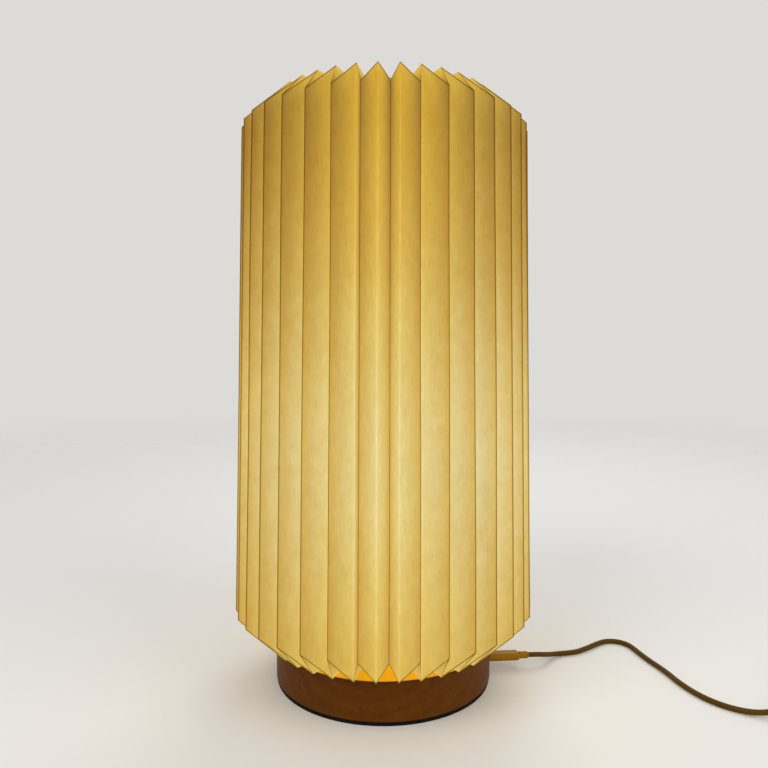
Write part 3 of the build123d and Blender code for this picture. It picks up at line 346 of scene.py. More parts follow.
def lay_lead(name, points, replaced):
    """A round lead along a NURBS curve of order 3, from points in millimetres."""
    curve = bpy.data.curves.new(name, "CURVE")
    curve.dimensions = "3D"
    curve.bevel_depth = LEAD_DIAMETER / 2 * MM
    curve.bevel_resolution = 5
    curve.resolution_u = 6
    curve.use_fill_caps = True
    spline = curve.splines.new("NURBS")
    spline.points.add(len(points) - 1)
    places = np.column_stack([np.array(points) * MM, np.ones(len(points))])
    spline.points.foreach_set("co", places.ravel())
    spline.order_u = 3
    spline.use_endpoint_u = True
    lead = bpy.data.objects.new(name, curve)
    scene.collection.objects.link(lead)
    curve.materials.append(cord_skin.material)
    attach(lead, "cord_set")
    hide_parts(*replaced)
    return lead


# %% [markdown]
# The lead is laid in two stretches, each a curve that takes the place of the frame's lead parts.

# %% Laying the two stretches
lead = lay_lead("lead", lead_points, ["cord_lead"])
coiled_points = [*link_points, *coil_points, *tail_points]
coiled_lead = lay_lead("coiled_lead", coiled_points, ["cord_link", "cord_coil", "cord_tail"])
print("points in the lead:", len(lead_points), "and", len(coiled_points))

# %% [markdown]
# ## Surfaces from formulas
# Paper and thin metal are walls with two sides. Both sides are worked out as a grid of points, with rows
# along the wall and columns round the axis, and one helper joins them into a closed shell. Whole arrays are
# computed at once, which is quick and keeps the formula readable.


# %% A closed wall round an axis
def closed_wall(name, outer, inner, sharp_rows=(), sharp_columns=()):
    """Joins two grids of points, rows by columns by 3, into a shell that closes round the columns.

    Rows of the outer grid run so that column step times row step points out of the wall.
    """
    rows, columns = outer.shape[:2]
    points = np.concatenate([outer.reshape(-1, 3), inner.reshape(-1, 3)])
    index = np.arange(2 * rows * columns).reshape(2, rows, columns)
    ahead = np.roll(index, -1, axis=2)
    low, low_next, high, high_next = index[:, :-1], ahead[:, :-1], index[:, 1:], ahead[:, 1:]
    outside = np.stack([low[0], low_next[0], high_next[0], high[0]], axis=-1).reshape(-1, 4)
    inside = np.stack([low[1], high[1], high_next[1], low_next[1]], axis=-1).reshape(-1, 4)
    first = np.stack([index[0, 0], index[1, 0], ahead[1, 0], ahead[0, 0]], axis=-1)
    last = np.stack([index[0, -1], ahead[0, -1], ahead[1, -1], index[1, -1]], axis=-1)
    faces = np.concatenate([outside, inside, first, last])
    mesh = bpy.data.meshes.new(name)
    mesh.from_pydata(points.tolist(), [], faces.tolist())
    mesh.shade_smooth()
    ends = np.zeros(2 * len(mesh.edges), np.int32)
    mesh.edges.foreach_get("vertices", ends)
    ends = ends.reshape(-1, 2)
    row, column = (ends // columns) % rows, ends % columns
    along_row, along_column = row[:, 0] == row[:, 1], column[:, 0] == column[:, 1]
    sharp = along_row & np.isin(row[:, 0], [0, rows - 1, *sharp_rows])
    sharp |= along_column & np.isin(column[:, 0], sharp_columns)
    mesh.attributes.new("sharp_edge", "BOOLEAN", "EDGE").data.foreach_set("value", sharp)
    piece = bpy.data.objects.new(name, mesh)
    scene.collection.objects.link(piece)
    print(name, "faces:", len(faces))
    return piece


def paint(piece, name, values):
    """Stores one number for each point of a shell, the same for both of its sides."""
    stored = piece.data.attributes.new(name, "FLOAT", "POINT")
    stored.data.foreach_set("value", np.tile(values.ravel(), 2).astype(np.float32))


# %% [markdown]
# ## The folded paper
# The shade is one sheet with 36 sharp pleats. Its outer folds lie on a drum that narrows slightly upwards.
# At both ends the pleats turn inwards, each outer fold becoming a ridge and each inner fold a foot. A point
# on a facet is described by how far it has come from the inner fold to the outer one; that number also drives
# the paper's lines of light later on. Paper folded by hand is never quite even, so every fold and facet
# strays a little.

# %% The paper's measures
PLEATS = 36
HALF_PLEAT = pi / PLEATS
SHADE_TURN = radians(1.9 - 90)
PAPER = 0.0004
FOLD_RADIUS = 0.100
FOLD_RATIO = 0.764
FOLD_SLOPE = 0.0166
BOTTOM_NOTCH = 0.0228
TOP_NOTCH = 0.0204
FACET_STEPS = 4
DRUM_ROWS = 40
FLANGE_ROWS = 6
STRAY_FOLD = 0.00022
STRAY_TURN = 0.0012
STRAY_BOW = 0.00030
STRAY_WAVES = 3
STRAY_SEED = 36

paper_low, paper_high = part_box("paper_shade")
shade_bottom, shade_top = paper_low.z, paper_high.z
shade_middle = (shade_bottom + shade_top) / 2
flange_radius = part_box("bottom_hoop")[1].x
columns = 2 * PLEATS * FACET_STEPS
column = np.arange(columns)
facet = column // FACET_STEPS
step = (column % FACET_STEPS) / FACET_STEPS
rising = facet % 2 == 0
crease = np.where(rising, step, 1 - step)
side = np.where(rising, -1.0, 1.0)
pleat_angle = SHADE_TURN + (facet // 2) * 2 * HALF_PLEAT
slope = tan(HALF_PLEAT)
chance = np.random.default_rng(STRAY_SEED)
print("facets:", 2 * PLEATS, "columns of points:", columns)


def smooth_stray(count, height):
    """Slow waves up the sheet, one for each fold or facet, mostly within -1 and 1."""
    phase = chance.uniform(0, 2 * pi, (STRAY_WAVES, count))
    share = chance.normal(0, 0.5, (STRAY_WAVES, count))
    waves = [share[k] * np.cos(height * (k + 0.5) * pi + phase[k]) for k in range(STRAY_WAVES)]
    return np.sum(waves, axis=0)


# %% The sheet as a formula
stray_levels = np.linspace(0, 1, DRUM_ROWS + 1)[:, None]
fold_stray = smooth_stray(2 * PLEATS, stray_levels)
turn_stray = smooth_stray(2 * PLEATS, stray_levels)
bow_stray = smooth_stray(2 * PLEATS, stray_levels)


def between_folds(values):
    """A number known at each fold, carried evenly across the facets between the folds."""
    start, end = values[:, facet], values[:, (facet + 1) % (2 * PLEATS)]
    return start + (end - start) * step


def folded_sheet(inset):
    """One side of the sheet, set in from its outer side by the paper's thickness or by nothing.

    Across a facet, x and y run straight from the inner fold to the outer one, and both ends are cut along
    straight creases that rise from the inner fold's foot. A flange carries each of its edge's points
    straight inwards, at its own height.
    """
    tilt = np.arctan2(FOLD_RATIO * sin(HALF_PLEAT), 1 - FOLD_RATIO * cos(HALF_PLEAT))
    outer_inset, inner_inset = inset / np.sin(tilt), inset / np.sin(tilt + HALF_PLEAT)
    flange_middle = (flange_radius + FOLD_RATIO * FOLD_RADIUS) / 2
    lift = inset / np.sin(np.arctan2(flange_middle * slope, BOTTOM_NOTCH))

    def across(level):
        fold = FOLD_RADIUS - FOLD_SLOPE * (level - shade_middle)
        valley = FOLD_RATIO * fold - inner_inset
        x = valley * cos(HALF_PLEAT) + (fold - outer_inset - valley * cos(HALF_PLEAT)) * crease
        return x, valley * sin(HALF_PLEAT) * (1 - crease)

    def end_row(foot, notch):
        level = foot + notch * crease
        x, y = across(level)
        return x, level, 1 - y / (x * slope)

    def flange(edge_x, edge_z, share):
        x_start = flange_radius / np.sqrt(1 + ((1 - share) * slope) ** 2)
        reach = np.linspace(0, 1, FLANGE_ROWS + 1)[:-1, None]
        x = x_start + (edge_x - x_start) * reach
        return x, (1 - share) * slope * x, np.broadcast_to(edge_z, x.shape)

    low_x, low_z, low_share = end_row(shade_bottom + lift, BOTTOM_NOTCH)
    high_x, high_z, high_share = end_row(shade_top - lift, -TOP_NOTCH)
    drum_z = low_z + (high_z - low_z) * np.linspace(0, 1, DRUM_ROWS + 1)[:, None]
    drum_x, drum_y = across(drum_z)
    low = flange(low_x, low_z, low_share)
    high = flange(high_x, high_z, high_share)
    x = np.concatenate([low[0], drum_x, high[0][::-1]])
    y = np.concatenate([low[1], drum_y, high[1][::-1]])
    z = np.concatenate([low[2], drum_z, high[2][::-1]])
    # how much of the straying each row takes: all of it on the drum, none at the card hoops
    ease = np.linspace(0, 1, FLANGE_ROWS + 1)[:-1]
    share = np.concatenate([ease, np.ones(DRUM_ROWS + 1), ease[::-1]])[:, None]
    # each flange strays as the drum's row beside it does
    spread = np.clip(np.arange(DRUM_ROWS + 1 + 2 * FLANGE_ROWS) - FLANGE_ROWS, 0, DRUM_ROWS)
    outwards = share * STRAY_FOLD * between_folds(fold_stray)[spread]
    bow = share * STRAY_BOW * (bow_stray[:, facet] * 4 * crease * (1 - crease))[spread]
    angle = pleat_angle + share * STRAY_TURN * between_folds(turn_stray)[spread]
    x = x + outwards + bow * sin(HALF_PLEAT)
    y = (y + bow) * side
    turned_x, turned_y = x * np.cos(angle) - y * np.sin(angle), x * np.sin(angle) + y * np.cos(angle)
    return np.stack([turned_x, turned_y, z], axis=-1)


outer_sheet = folded_sheet(0.0)
folded_paper = closed_wall(
    "folded_paper",
    outer_sheet,
    folded_sheet(PAPER),
    sharp_rows=[FLANGE_ROWS, FLANGE_ROWS + DRUM_ROWS],
    sharp_columns=np.arange(0, columns, FACET_STEPS),
)
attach(folded_paper, "shade")
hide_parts("paper_shade", "paper_bottom_flange", "paper_top_flange")

# %% [markdown]
# The finish needs to know where on the sheet it is. Five numbers are stored on the points: the way from the
# inner fold to the outer one, a tone for each facet, how far a pleat lies to the drum's left or right, the
# creases at the drum's two ends, and the one facet where the sheet's ends lap.

# %% Numbers that the paper's finish reads
LAP_FACET = 37
# how far a pleat lies to the side sets its paler painted glow, half as much on the left
FLANK_GROWTH = 1.7
LEFT_FLANK = 0.5

grid_shape = outer_sheet.shape[:2]
facet_tone = chance.normal(0, 1, 2 * PLEATS)[facet]
sideways = np.cos(pleat_angle)
flank = np.abs(sideways) ** FLANK_GROWTH * np.where(sideways > 0, 1.0, LEFT_FLANK)
rim_rows = np.isin(np.arange(grid_shape[0]), [FLANGE_ROWS, FLANGE_ROWS + DRUM_ROWS]).astype(float)
numbers = {
    "crease": crease,
    "tone": facet_tone,
    "flank": flank,
    "rim": rim_rows[:, None],
    "lap": np.where(facet == LAP_FACET, 1.0, 0.0),
}
for name, values in numbers.items():
    paint(folded_paper, name, np.broadcast_to(values, grid_shape))
print("numbers on the paper:", *numbers)

# %% [markdown]
# ## Paper that glows
# The bulb sits low in the drum, so the paper is brightest and palest beside it and turns deeper and more
# orange towards the top. Where two layers meet at an inner fold a thin painted line of light makes the glow
# paler, and an outer fold, turned away from the light, gets a thin line of painted shade, as do the creases
# at the drum's two ends; that painted shade darkens the paper's base colour as well as its glow, and the base
# colour is also painted a little darker towards each outer fold. The glow is written as emission: it is the
# bulb's light through the sheet, painted on.
# plus the squared height from the bulb, sets both the inner folds' bright colour and the outer folds' deep
# one, which the slanting light also darkens towards the top; the distance from the folds mixes the two.
# Thicker and thinner pulp mottles it, a lap of two layers is darker, and pleats at the drum's two sides get a
# paler painted glow, the right side more than the left. A real light inside a real translucent sheet would
# need far more samples for the same picture.

# %% The paper's finish
PAPER_BASE = (0.32, 0.215, 0.035)
# the base colour at an outer fold, painted a little darker as shade
RIDGE_SHADED_BASE = (0.304, 0.194, 0.029)
BULB_LEVEL = 0.160
BULB_REACH = 0.090
BRIGHT_BY_NEARNESS = [
    (0.15, (0.45, 0.30, 0.034)),
    (0.30, (0.51, 0.37, 0.072)),
    (0.50, (0.54, 0.45, 0.130)),
    (1.00, (0.56, 0.52, 0.225)),
]
DEEP_FAR = (0.28, 0.13, 0.008)
DEEP_NEAR = (0.39, 0.26, 0.052)
SLANT_FROM = 0.200
SLANT_GROWTH = 1.2
SLANT_TINT = (0.15, 0.0, 0.0)
FALL_OFF = 1.4
# painted light: the glow's pale line at each inner fold
VALLEY_LIGHT_TINT = (1.12, 1.15, 1.65)
# painted shade: the dark line at each outer fold and at the end creases, in the glow and the base colour
FOLD_SHADE_TINT = (0.46, 0.39, 0.16)
THICK_PULP = (0.92, 0.86, 0.72)
THIN_PULP = (1.06, 1.10, 1.26)
# painted light: a paler glow for the pleats at the drum's sides
SIDE_GLOW_TINT = (1.26, 1.52, 2.60)
WHITE = (1.0, 1.0, 1.0)
VALLEY_WIDTH = 0.09
LINE_WIDTH = 0.040
RIM_WIDTH = 0.12
# each kind of pulp has the scale, detail and stretch of its noise, and its share
CLOUDS, CLOUD_SHARE = (22.0, 3.0, (1.0, 1.0, 0.6)), 0.6
FLECKS, FLECK_SHARE = (150.0, 6.0, (1.0, 1.0, 0.8)), 1.1
FIBRES, FIBRE_SHARE = (520.0, 3.0, (1.0, 1.0, 0.25)), 0.7
PULP_MIDDLE = 0.70
TONE_SHARE = 0.014
LAP_SHARE = 0.14
EVEN_LEVEL = 0.985


def glowing_paper():
    """Handmade paper with a lamp behind it."""
    finish = Finish("glowing_paper")
    level = finish.axis("Z")
    from_bulb = (level - BULB_LEVEL) / BULB_REACH
    nearness = (from_bulb * from_bulb + 1.0) ** -1.0
    slant = ((level - SLANT_FROM) / (shade_top - SLANT_FROM)).clamped() ** SLANT_GROWTH
    fold = finish.attribute("crease")
    valley = (1.0 - fold / VALLEY_WIDTH).clamped()
    ridge = (fold - 1.0 + LINE_WIDTH) / (LINE_WIDTH / 2)
    rim = (finish.attribute("rim") - 1.0 + RIM_WIDTH) / (RIM_WIDTH / 2)
    line = ridge.math("MAXIMUM", rim).clamped()
    clouds = finish.noise(*CLOUDS) * CLOUD_SHARE
    flecks = finish.noise(*FLECKS) * FLECK_SHARE
    fibres = finish.noise(*FIBRES) * FIBRE_SHARE
    pulp = finish.mix((clouds + flecks + fibres - PULP_MIDDLE).clamped(), THICK_PULP, THIN_PULP)
    evenness = finish.attribute("tone") * TONE_SHARE - finish.attribute("lap") * LAP_SHARE + EVEN_LEVEL
    # painted light: pleats at the drum's sides glow paler, more on the right
    beside = finish.mix(finish.attribute("flank") * (fold * 2.0).clamped(), WHITE, SIDE_GLOW_TINT)
    away = fold**FALL_OFF
    # painted shade: the base colour darkens towards each outer fold
    base = finish.tinted(finish.mix(away, PAPER_BASE, RIDGE_SHADED_BASE), pulp)
    darker = finish.mix(slant, WHITE, SLANT_TINT)
    deep = finish.tinted(finish.mix(nearness, DEEP_FAR, DEEP_NEAR), darker)
    glow = finish.mix(away, finish.ramp(nearness, *BRIGHT_BY_NEARNESS), deep)
    # painted light at the inner folds, painted shade at the outer folds and the end creases
    at_folds = finish.mix(line, finish.mix(valley, WHITE, VALLEY_LIGHT_TINT), FOLD_SHADE_TINT)
    lined_glow = finish.tinted(finish.tinted(glow, at_folds), finish.tinted(pulp, beside))
    # the painted shade of the fold and crease lines darkens the base colour as well as the glow
    finish.set(
        base_color=finish.scaled(finish.tinted(base, finish.mix(line, WHITE, FOLD_SHADE_TINT)), evenness),
        glow=finish.scaled(lined_glow, evenness),
        glow_strength=1.0,
        roughness=0.85,
        specular=0.2,
    )
    return finish.bump(finish.noise(300.0, 4.0), 0.00012, 0.6)


paper_finish = glowing_paper()
folded_paper.data.materials.append(paper_finish.material)
print("nodes in the paper's finish:", len(paper_finish.tree.nodes))

# %% [markdown]
# ## Threads
# A bulb's cap and the shell that it screws into are thin rolled metal with the same rounded thread. Both are
# walls round the axis whose radius rises and falls as one winds round and up, so one formula serves both.

# %% The rolled threads
THREAD_PITCH = 3.62 * MM
THREAD_DEPTH = 0.7 * MM
SHELL_DEPTH = 0.35 * MM
THREAD_WALL = 0.3 * MM
THREAD_COLUMNS = 72
THREAD_ROWS_PER_PITCH = 12
PLAIN_END = 2 * MM
CAP_RADIUS = 13.1 * MM
SHELL_RADIUS = 14.1 * MM


def threaded_wall(name, node, outer_radius, depth, body):
    """Radius is the outer one less depth times half of one plus the cosine of the winding's phase."""
    low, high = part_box(node)
    row_count = int((high.z - low.z) / THREAD_PITCH * THREAD_ROWS_PER_PITCH)
    level = np.linspace(low.z, high.z, row_count)[:, None]
    around = np.arange(THREAD_COLUMNS) * 2 * pi / THREAD_COLUMNS
    phase = 2 * pi * level / THREAD_PITCH - around
    plain_ends = np.clip(np.minimum(level - low.z, high.z - level) / PLAIN_END, 0, 1)
    radius = outer_radius - depth * (1 + np.cos(phase)) / 2 * plain_ends

    def ring(r):
        return np.stack([r * np.cos(around), r * np.sin(around), np.broadcast_to(level, r.shape)], axis=-1)

    piece = closed_wall(name, ring(radius), ring(radius - THREAD_WALL))
    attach(piece, body)
    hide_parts(node)
    return piece


bulb_thread = threaded_wall("bulb_thread", "bulb_cap", CAP_RADIUS, THREAD_DEPTH, "bulb")
holder_thread = threaded_wall("holder_thread", "screw_shell", SHELL_RADIUS, SHELL_DEPTH, "base")

# %% [markdown]
# ## Metals
# Rolled, drawn and turned metal carries fine lines in the direction it was worked. A noise that is squeezed
# across those lines and long along them gives the lines, and it moves the roughness as well as the height.


# %% Metal finishes
def worked_metal(name, colour, dark, roughness, stretch, scale=260.0):
    """Metal with fine lines along the axes whose stretch is small."""
    finish = Finish(name)
    lines = finish.noise(scale, 3.0, stretch)
    clouds = finish.noise(45.0, 2.0)
    finish.set(
        base_color=finish.mix(clouds * 0.7 + lines * 0.3, dark, colour),
        metallic=1.0,
        roughness=lines * 0.25 + roughness,
    )
    return finish.bump(lines, 0.00003, 0.4)


ROLLED = (0.08, 1.0, 1.0)
TURNED = (1.0, 1.0, 0.2)
DRAWN = (1.0, 1.0, 0.15)
SPUN = (0.2, 0.2, 1.0)
MELTED = (1.0, 1.0, 1.0)
steel = worked_metal("steel", (0.66, 0.66, 0.68), (0.50, 0.50, 0.52), 0.22, ROLLED)
screw_steel = worked_metal("screw_steel", (0.62, 0.62, 0.64), (0.42, 0.42, 0.44), 0.25, TURNED, 500.0)
brass = worked_metal("brass", (0.80, 0.58, 0.26), (0.60, 0.40, 0.15), 0.24, DRAWN)
aluminium = worked_metal("aluminium", (0.84, 0.84, 0.85), (0.70, 0.70, 0.71), 0.26, SPUN)
tin = worked_metal("tin", (0.62, 0.61, 0.58), (0.45, 0.44, 0.42), 0.35, MELTED, 700.0)
dress(steel, "bottom_plate", "stem_washer", "usb_socket", "plug_shell", "far_plug_shell")
dress(screw_steel, "plate_screws", "board_screws", "switch_screws", "rocker_pin")
dress(brass, "threaded_stem", "stem_nuts", "centre_contact", "switch_terminals", "screw_shell")
dress(aluminium, "bulb_cap")
dress(tin, "bulb_tip")
bulb_thread.data.materials.append(aluminium.material)
holder_thread.data.materials.append(brass.material)
print("metals:", *(metal.material.name for metal in (steel, screw_steel, brass, aluminium, tin)))

# %% [markdown]
# ## The turned foot
# The foot is a block of dark hardwood, turned on a lathe, sanded and lacquered. Its grain runs from front to
# back, so the front shows end grain, with the arcs of the growth rings round a heart outside the block, and
# the sides show long fibres. The rings are a wave that noise bends. The block's top lies in the bulb's full
# light, and shows orange through the paper's notches, so the last fraction of a millimetre below it glows.

# %% Wood
WOOD_LIGHT = (0.150, 0.046, 0.0016)
WOOD_DARK = (0.066, 0.018, 0.0008)
WOOD_PORE = (0.040, 0.011, 0.0005)
LIT_WOOD = (0.74, 0.34, 0.006)
LIT_FROM = 27.3 * MM
LIT_TO = 27.58 * MM
RING_HEART = (0.004, 0.0, -0.046)
RING_TURN = (0.20, 0.0, 0.10)
RING_SCALE = 34.0
PORES_FROM = 0.64
PORES_SHARPNESS = 9.0


def turned_wood():
    """Hardwood with rings, fibres and pores along y, and a lit top."""
    finish = Finish("turned_wood")
    bend = finish.noise(9.0, 3.0, (1.0, 0.35, 1.0))
    turned = finish.node(
        "ShaderNodeMapping", inputs={"Vector": finish.place(), "Location": RING_HEART, "Rotation": RING_TURN}
    )
    rings = finish.node(
        "ShaderNodeTexWave",
        {"wave_type": "RINGS", "rings_direction": "Y", "wave_profile": "SIN"},
        {"Vector": turned, "Scale": RING_SCALE, "Distortion": 4.5, "Detail": 4.0, "Detail Scale": 1.3},
        output="Fac",
    )
    fibres = finish.noise(210.0, 3.0, (1.0, 0.05, 1.0))
    pores = ((finish.noise(330.0, 2.0, (1.0, 0.045, 1.0)) - PORES_FROM) * PORES_SHARPNESS).clamped()
    shade = (rings * 0.16 + bend * 0.65 + fibres * 0.45 - 0.12).clamped()
    grained = finish.mix(shade, WOOD_DARK, WOOD_LIGHT)
    top = ((finish.axis("Z") - LIT_FROM) / (LIT_TO - LIT_FROM)).clamped()
    finish.set(
        base_color=finish.mix(pores * 0.5, grained, WOOD_PORE),
        glow=finish.scaled(LIT_WOOD, top * (fibres * 0.3 + 0.85)),
        glow_strength=1.0,
        roughness=pores * 0.25 + fibres * 0.12 + 0.42,
        specular=0.07,
    )
    return finish.bump(fibres * 0.4 - pores, 0.00006, 0.4)


wood = turned_wood()
dress(wood, "wood_base")
print("nodes in the wood's finish:", len(wood.tree.nodes))

# %% [markdown]
# ## Board, card and felt
# Pressed board, card and the pad under the foot have no direction: they are made of short fibres lying every
# way. Two sizes of noise, one for clumps and one for fibres, make all of them, with their own colours.


# %% Fibrous finishes
def fibrous(name, light, dark, roughness):
    """Short fibres that lie every way, in clumps."""
    finish = Finish(name)
    clumps, fibres = finish.noise(60.0, 3.0), finish.noise(520.0, 3.0)
    finish.set(
        base_color=finish.mix((clumps * 0.5 + fibres * 0.9 - 0.2).clamped(), dark, light),
        roughness=roughness,
        specular=0.12,
    )
    return finish.bump(fibres, 0.00012, 0.6)


dress(fibrous("pressed_board", (0.33, 0.20, 0.10), (0.20, 0.11, 0.05), 0.75), "locating_disc")
dress(fibrous("card", (0.74, 0.57, 0.32), (0.58, 0.42, 0.21), 0.80), "top_hoop", "bottom_hoop")
dress(fibrous("black_pad", (0.010, 0.008, 0.006), (0.003, 0.0025, 0.002), 0.90), "base_pad")
dress(fibrous("fibre_sheet", (0.42, 0.36, 0.26), (0.30, 0.25, 0.17), 0.70), "insulating_sheet")
print("materials so far:", len(bpy.data.materials))

# %% [markdown]
# ## Mouldings
# The plugs, the switch and the lamp holder are moulded plastic. The lead set's warm tan is partly painted
# lamplight, and the holder and the bulb's neck are off-white. Only the colour, the gloss and the grain
# differ.

# %% Plastic, ceramic and board
# the lead set's tan, partly the plastic's own colour and partly painted warm light from the lamp
TAN_IN_LAMPLIGHT = (0.36, 0.170, 0.002)
TAN_DARK_IN_LAMPLIGHT = (0.27, 0.125, 0.001)
OFF_WHITE = (0.78, 0.73, 0.62)
OFF_WHITE_DARK = (0.70, 0.64, 0.52)
BLACK = (0.020, 0.020, 0.021)
BLACK_DARK = (0.010, 0.010, 0.011)
WEAVE_SCALE = 900.0
TRACES_FROM = 0.54
TRACES_SHARPNESS = 30.0

lamplit_tan_plastic = moulded("lamplit_tan_plastic", TAN_IN_LAMPLIGHT, TAN_DARK_IN_LAMPLIGHT, 0.42, specular=0.09)
white_plastic = moulded("white_plastic", OFF_WHITE, OFF_WHITE_DARK, 0.34, 700.0)
black_plastic = moulded("black_plastic", BLACK, BLACK_DARK, 0.40)
ceramic = moulded("ceramic", (0.83, 0.80, 0.73), (0.76, 0.72, 0.63), 0.50, 420.0, 0.00008)
red_skin = moulded("red_skin", (0.42, 0.025, 0.020), (0.32, 0.015, 0.012), 0.30)
black_skin = moulded("black_skin", BLACK, BLACK_DARK, 0.30)
dress(lamplit_tan_plastic, "plug_body", "plug_relief", "far_plug_body")
dress(lamplit_tan_plastic, "switch_base", "switch_cover", "switch_reliefs")
dress(white_plastic, "holder_cap", "holder_body", "bulb_neck", "switch_rocker", "far_plug_tongue")
dress(black_plastic, "port_bezel", "socket_tongue", "bulb_insulator", "cord_tie", "board_parts")
dress(ceramic, "holder_insert")
dress(red_skin, "wire_live")
dress(black_skin, "wire_return")
dress(cord_skin, "cord_lead", "cord_link", "cord_coil", "cord_tail")


def circuit_board():
    """Green lacquer over a fine weave, with paler traces along the board."""
    finish = Finish("circuit_board")
    checks = {"Vector": finish.place(), "Scale": WEAVE_SCALE}
    weave = finish.node("ShaderNodeTexChecker", inputs=checks, output="Fac")
    traces = ((finish.noise(240.0, 0.0, (0.25, 1.0, 1.0)) - TRACES_FROM) * TRACES_SHARPNESS).clamped()
    green = finish.mix(weave * 0.25, (0.016, 0.110, 0.036), (0.020, 0.140, 0.048))
    traced = finish.mix(traces * 0.6, green, (0.060, 0.260, 0.090))
    finish.set(base_color=traced, roughness=0.28, coat=0.4)
    return finish.bump(traces, 0.00004, 0.5)


board = circuit_board()
dress(board, "driver_board")
print("nodes in the board's finish:", len(board.tree.nodes))

# %% [markdown]
# ## The light source
# The bulb is an opal ball over a ring of small yellow chips. Opal glass that is lit shows no lamp behind it,
# only an even glow with faint clouds, so the ball itself is given the light.

# %% Opal, chips and their plate
OPAL_GLOW = (1.0, 0.80, 0.46)
GLOBE_STRENGTH = 4.0
CHIP_GLOW = (1.0, 0.72, 0.25)
CHIP_STRENGTH = 6.0


def lit_opal():
    """Opal glass with the lamp's own light in it."""
    finish = Finish("lit_opal")
    milk = finish.noise(30.0, 2.0) * 0.10 + 0.92
    finish.set(
        base_color=(0.90, 0.86, 0.76),
        glow=finish.scaled(OPAL_GLOW, milk),
        glow_strength=GLOBE_STRENGTH,
        roughness=0.30,
    )
    return finish.bump(finish.noise(160.0, 2.0), 0.00005, 0.3)


def lit_chips():
    """Yellow resin over small lit chips."""
    finish = Finish("lit_chips")
    finish.set(
        base_color=finish.mix(finish.noise(900.0), (0.85, 0.60, 0.12), (0.90, 0.70, 0.20)),
        glow=CHIP_GLOW,
        glow_strength=CHIP_STRENGTH,
        roughness=0.35,
    )
    return finish


dress(lit_opal(), "bulb_globe")
dress(lit_chips(), "led_chips")
dress(moulded("plate_enamel", (0.84, 0.84, 0.82), (0.76, 0.76, 0.74), 0.38), "led_plate")
print("glow of the ball:", GLOBE_STRENGTH, "and of the chips:", CHIP_STRENGTH)

# %% [markdown]
# ## The floor, the room and the lamps
# The floor is a plain pale disc that fades into the pale room, so no horizon shows. Three broad lamps and an
# even sky light the object softly, at a level at which a colour looks as it is written.

# %% Floor
FLOOR_RADIUS = 3.0
FLOOR_FADE = (0.55, 2.7)
FLOOR_COLOUR = (0.78, 0.77, 0.75)
FLOOR_COLUMNS = 96
FLOOR_ROWS = 24
FLOOR_HUB = 0.02
FLOOR_DROP = 0.0001
FADE_POWER = 2.0

floor_turn = np.arange(FLOOR_COLUMNS) * 2 * pi / FLOOR_COLUMNS
floor_reach = np.linspace(FLOOR_HUB, 1, FLOOR_ROWS)[:, None] * FLOOR_RADIUS
floor_x, floor_y = floor_reach * np.cos(floor_turn), floor_reach * np.sin(floor_turn)
floor_grid = np.stack([floor_x, floor_y, np.full(floor_x.shape, -FLOOR_DROP)], axis=-1)
floor_index = np.arange(FLOOR_ROWS * FLOOR_COLUMNS).reshape(FLOOR_ROWS, FLOOR_COLUMNS)
floor_ahead = np.roll(floor_index, -1, axis=1)
floor_quads = np.stack([floor_index[:-1], floor_index[1:], floor_ahead[1:], floor_ahead[:-1]], axis=-1)
floor_faces = [*floor_quads.reshape(-1, 4).tolist(), floor_index[0].tolist()]
floor_mesh = bpy.data.meshes.new("floor")
floor_mesh.from_pydata(floor_grid.reshape(-1, 3).tolist(), [], floor_faces)
floor = bpy.data.objects.new("floor", floor_mesh)
scene.collection.objects.link(floor)

floor_finish = Finish("pale_floor")
from_middle = {0: floor_finish.place()}
distance = floor_finish.node("ShaderNodeVectorMath", {"operation": "LENGTH"}, from_middle, "Value")
floor_cover = ((FLOOR_FADE[1] - distance) / (FLOOR_FADE[1] - FLOOR_FADE[0])).clamped() ** FADE_POWER
floor_finish.set(base_color=FLOOR_COLOUR, roughness=0.70, specular=0.2, alpha=floor_cover)
floor_mesh.materials.append(floor_finish.material)
print("floor faces:", len(floor_faces))

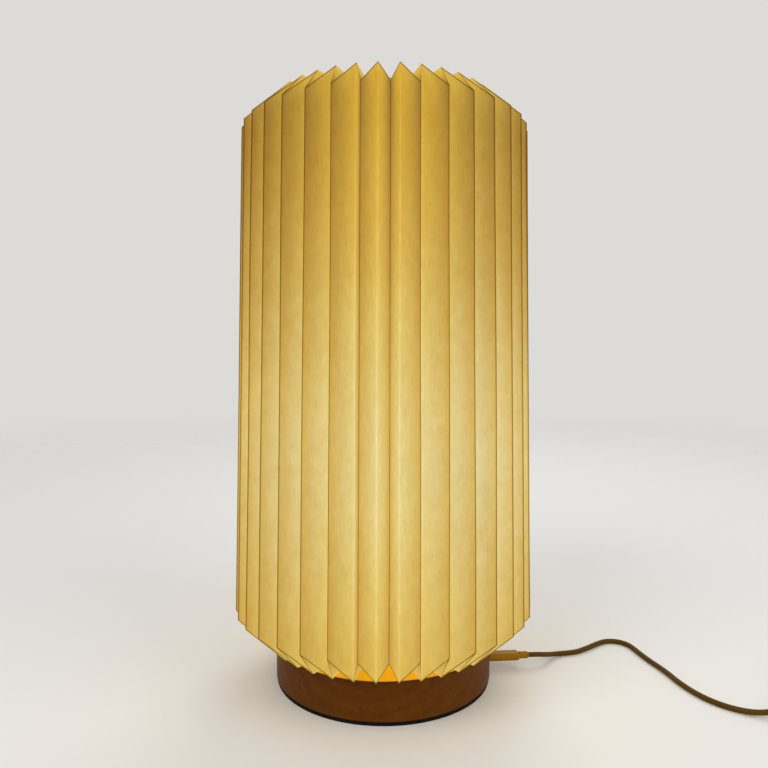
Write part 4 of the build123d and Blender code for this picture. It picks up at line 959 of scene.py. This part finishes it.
# %% [markdown]
# The room gives an even white light. A camera, a gloss or a glass that looks straight at it sees the pale
# colour of the far floor instead.

# %% Room and lamps
ROOM_LIGHT = 0.55
ROOM_SEEN = (0.72, 0.71, 0.69)
LAMP_AIM = (0.0, 0.0, 0.15)

world = bpy.data.worlds.new("room")
scene.world = world
world.use_nodes = True
room = world.node_tree
room.nodes.clear()
ways = room.nodes.new("ShaderNodeLightPath")
even = room.nodes.new("ShaderNodeBackground")
even.inputs["Color"].default_value = (*WHITE, 1.0)
even.inputs["Strength"].default_value = ROOM_LIGHT
seen = room.nodes.new("ShaderNodeBackground")
seen.inputs["Color"].default_value = (*ROOM_SEEN, 1.0)
either = room.nodes.new("ShaderNodeMath")
either.operation = "MAXIMUM"
any_way = room.nodes.new("ShaderNodeMath")
any_way.operation = "MAXIMUM"
choice = room.nodes.new("ShaderNodeMixShader")
out = room.nodes.new("ShaderNodeOutputWorld")
room.links.new(ways.outputs["Is Camera Ray"], either.inputs[0])
room.links.new(ways.outputs["Is Glossy Ray"], either.inputs[1])
room.links.new(either.outputs[0], any_way.inputs[0])
room.links.new(ways.outputs["Is Transmission Ray"], any_way.inputs[1])
room.links.new(any_way.outputs[0], choice.inputs[0])
room.links.new(even.outputs[0], choice.inputs[1])
room.links.new(seen.outputs[0], choice.inputs[2])
room.links.new(choice.outputs[0], out.inputs["Surface"])


def soft_lamp(name, place, size, watts):
    """A square area lamp that looks at the shade's lower half."""
    data = bpy.data.lights.new(name, "AREA")
    data.size = size
    data.energy = watts
    lamp = bpy.data.objects.new(name, data)
    scene.collection.objects.link(lamp)
    offset = Vector(place) - Vector(LAMP_AIM)
    lamp.matrix_world = Matrix.Translation(place) @ offset.to_track_quat("Z", "Y").to_matrix().to_4x4()


soft_lamp("key_lamp", (-0.9, -1.1, 1.5), 1.0, 12.0)
soft_lamp("fill_lamp", (1.2, -0.9, 1.1), 1.2, 9.0)
soft_lamp("back_lamp", (0.3, 1.4, 1.3), 1.0, 9.0)
scene.view_settings.view_transform = "Standard"
print("lamps:", len(bpy.data.lights))
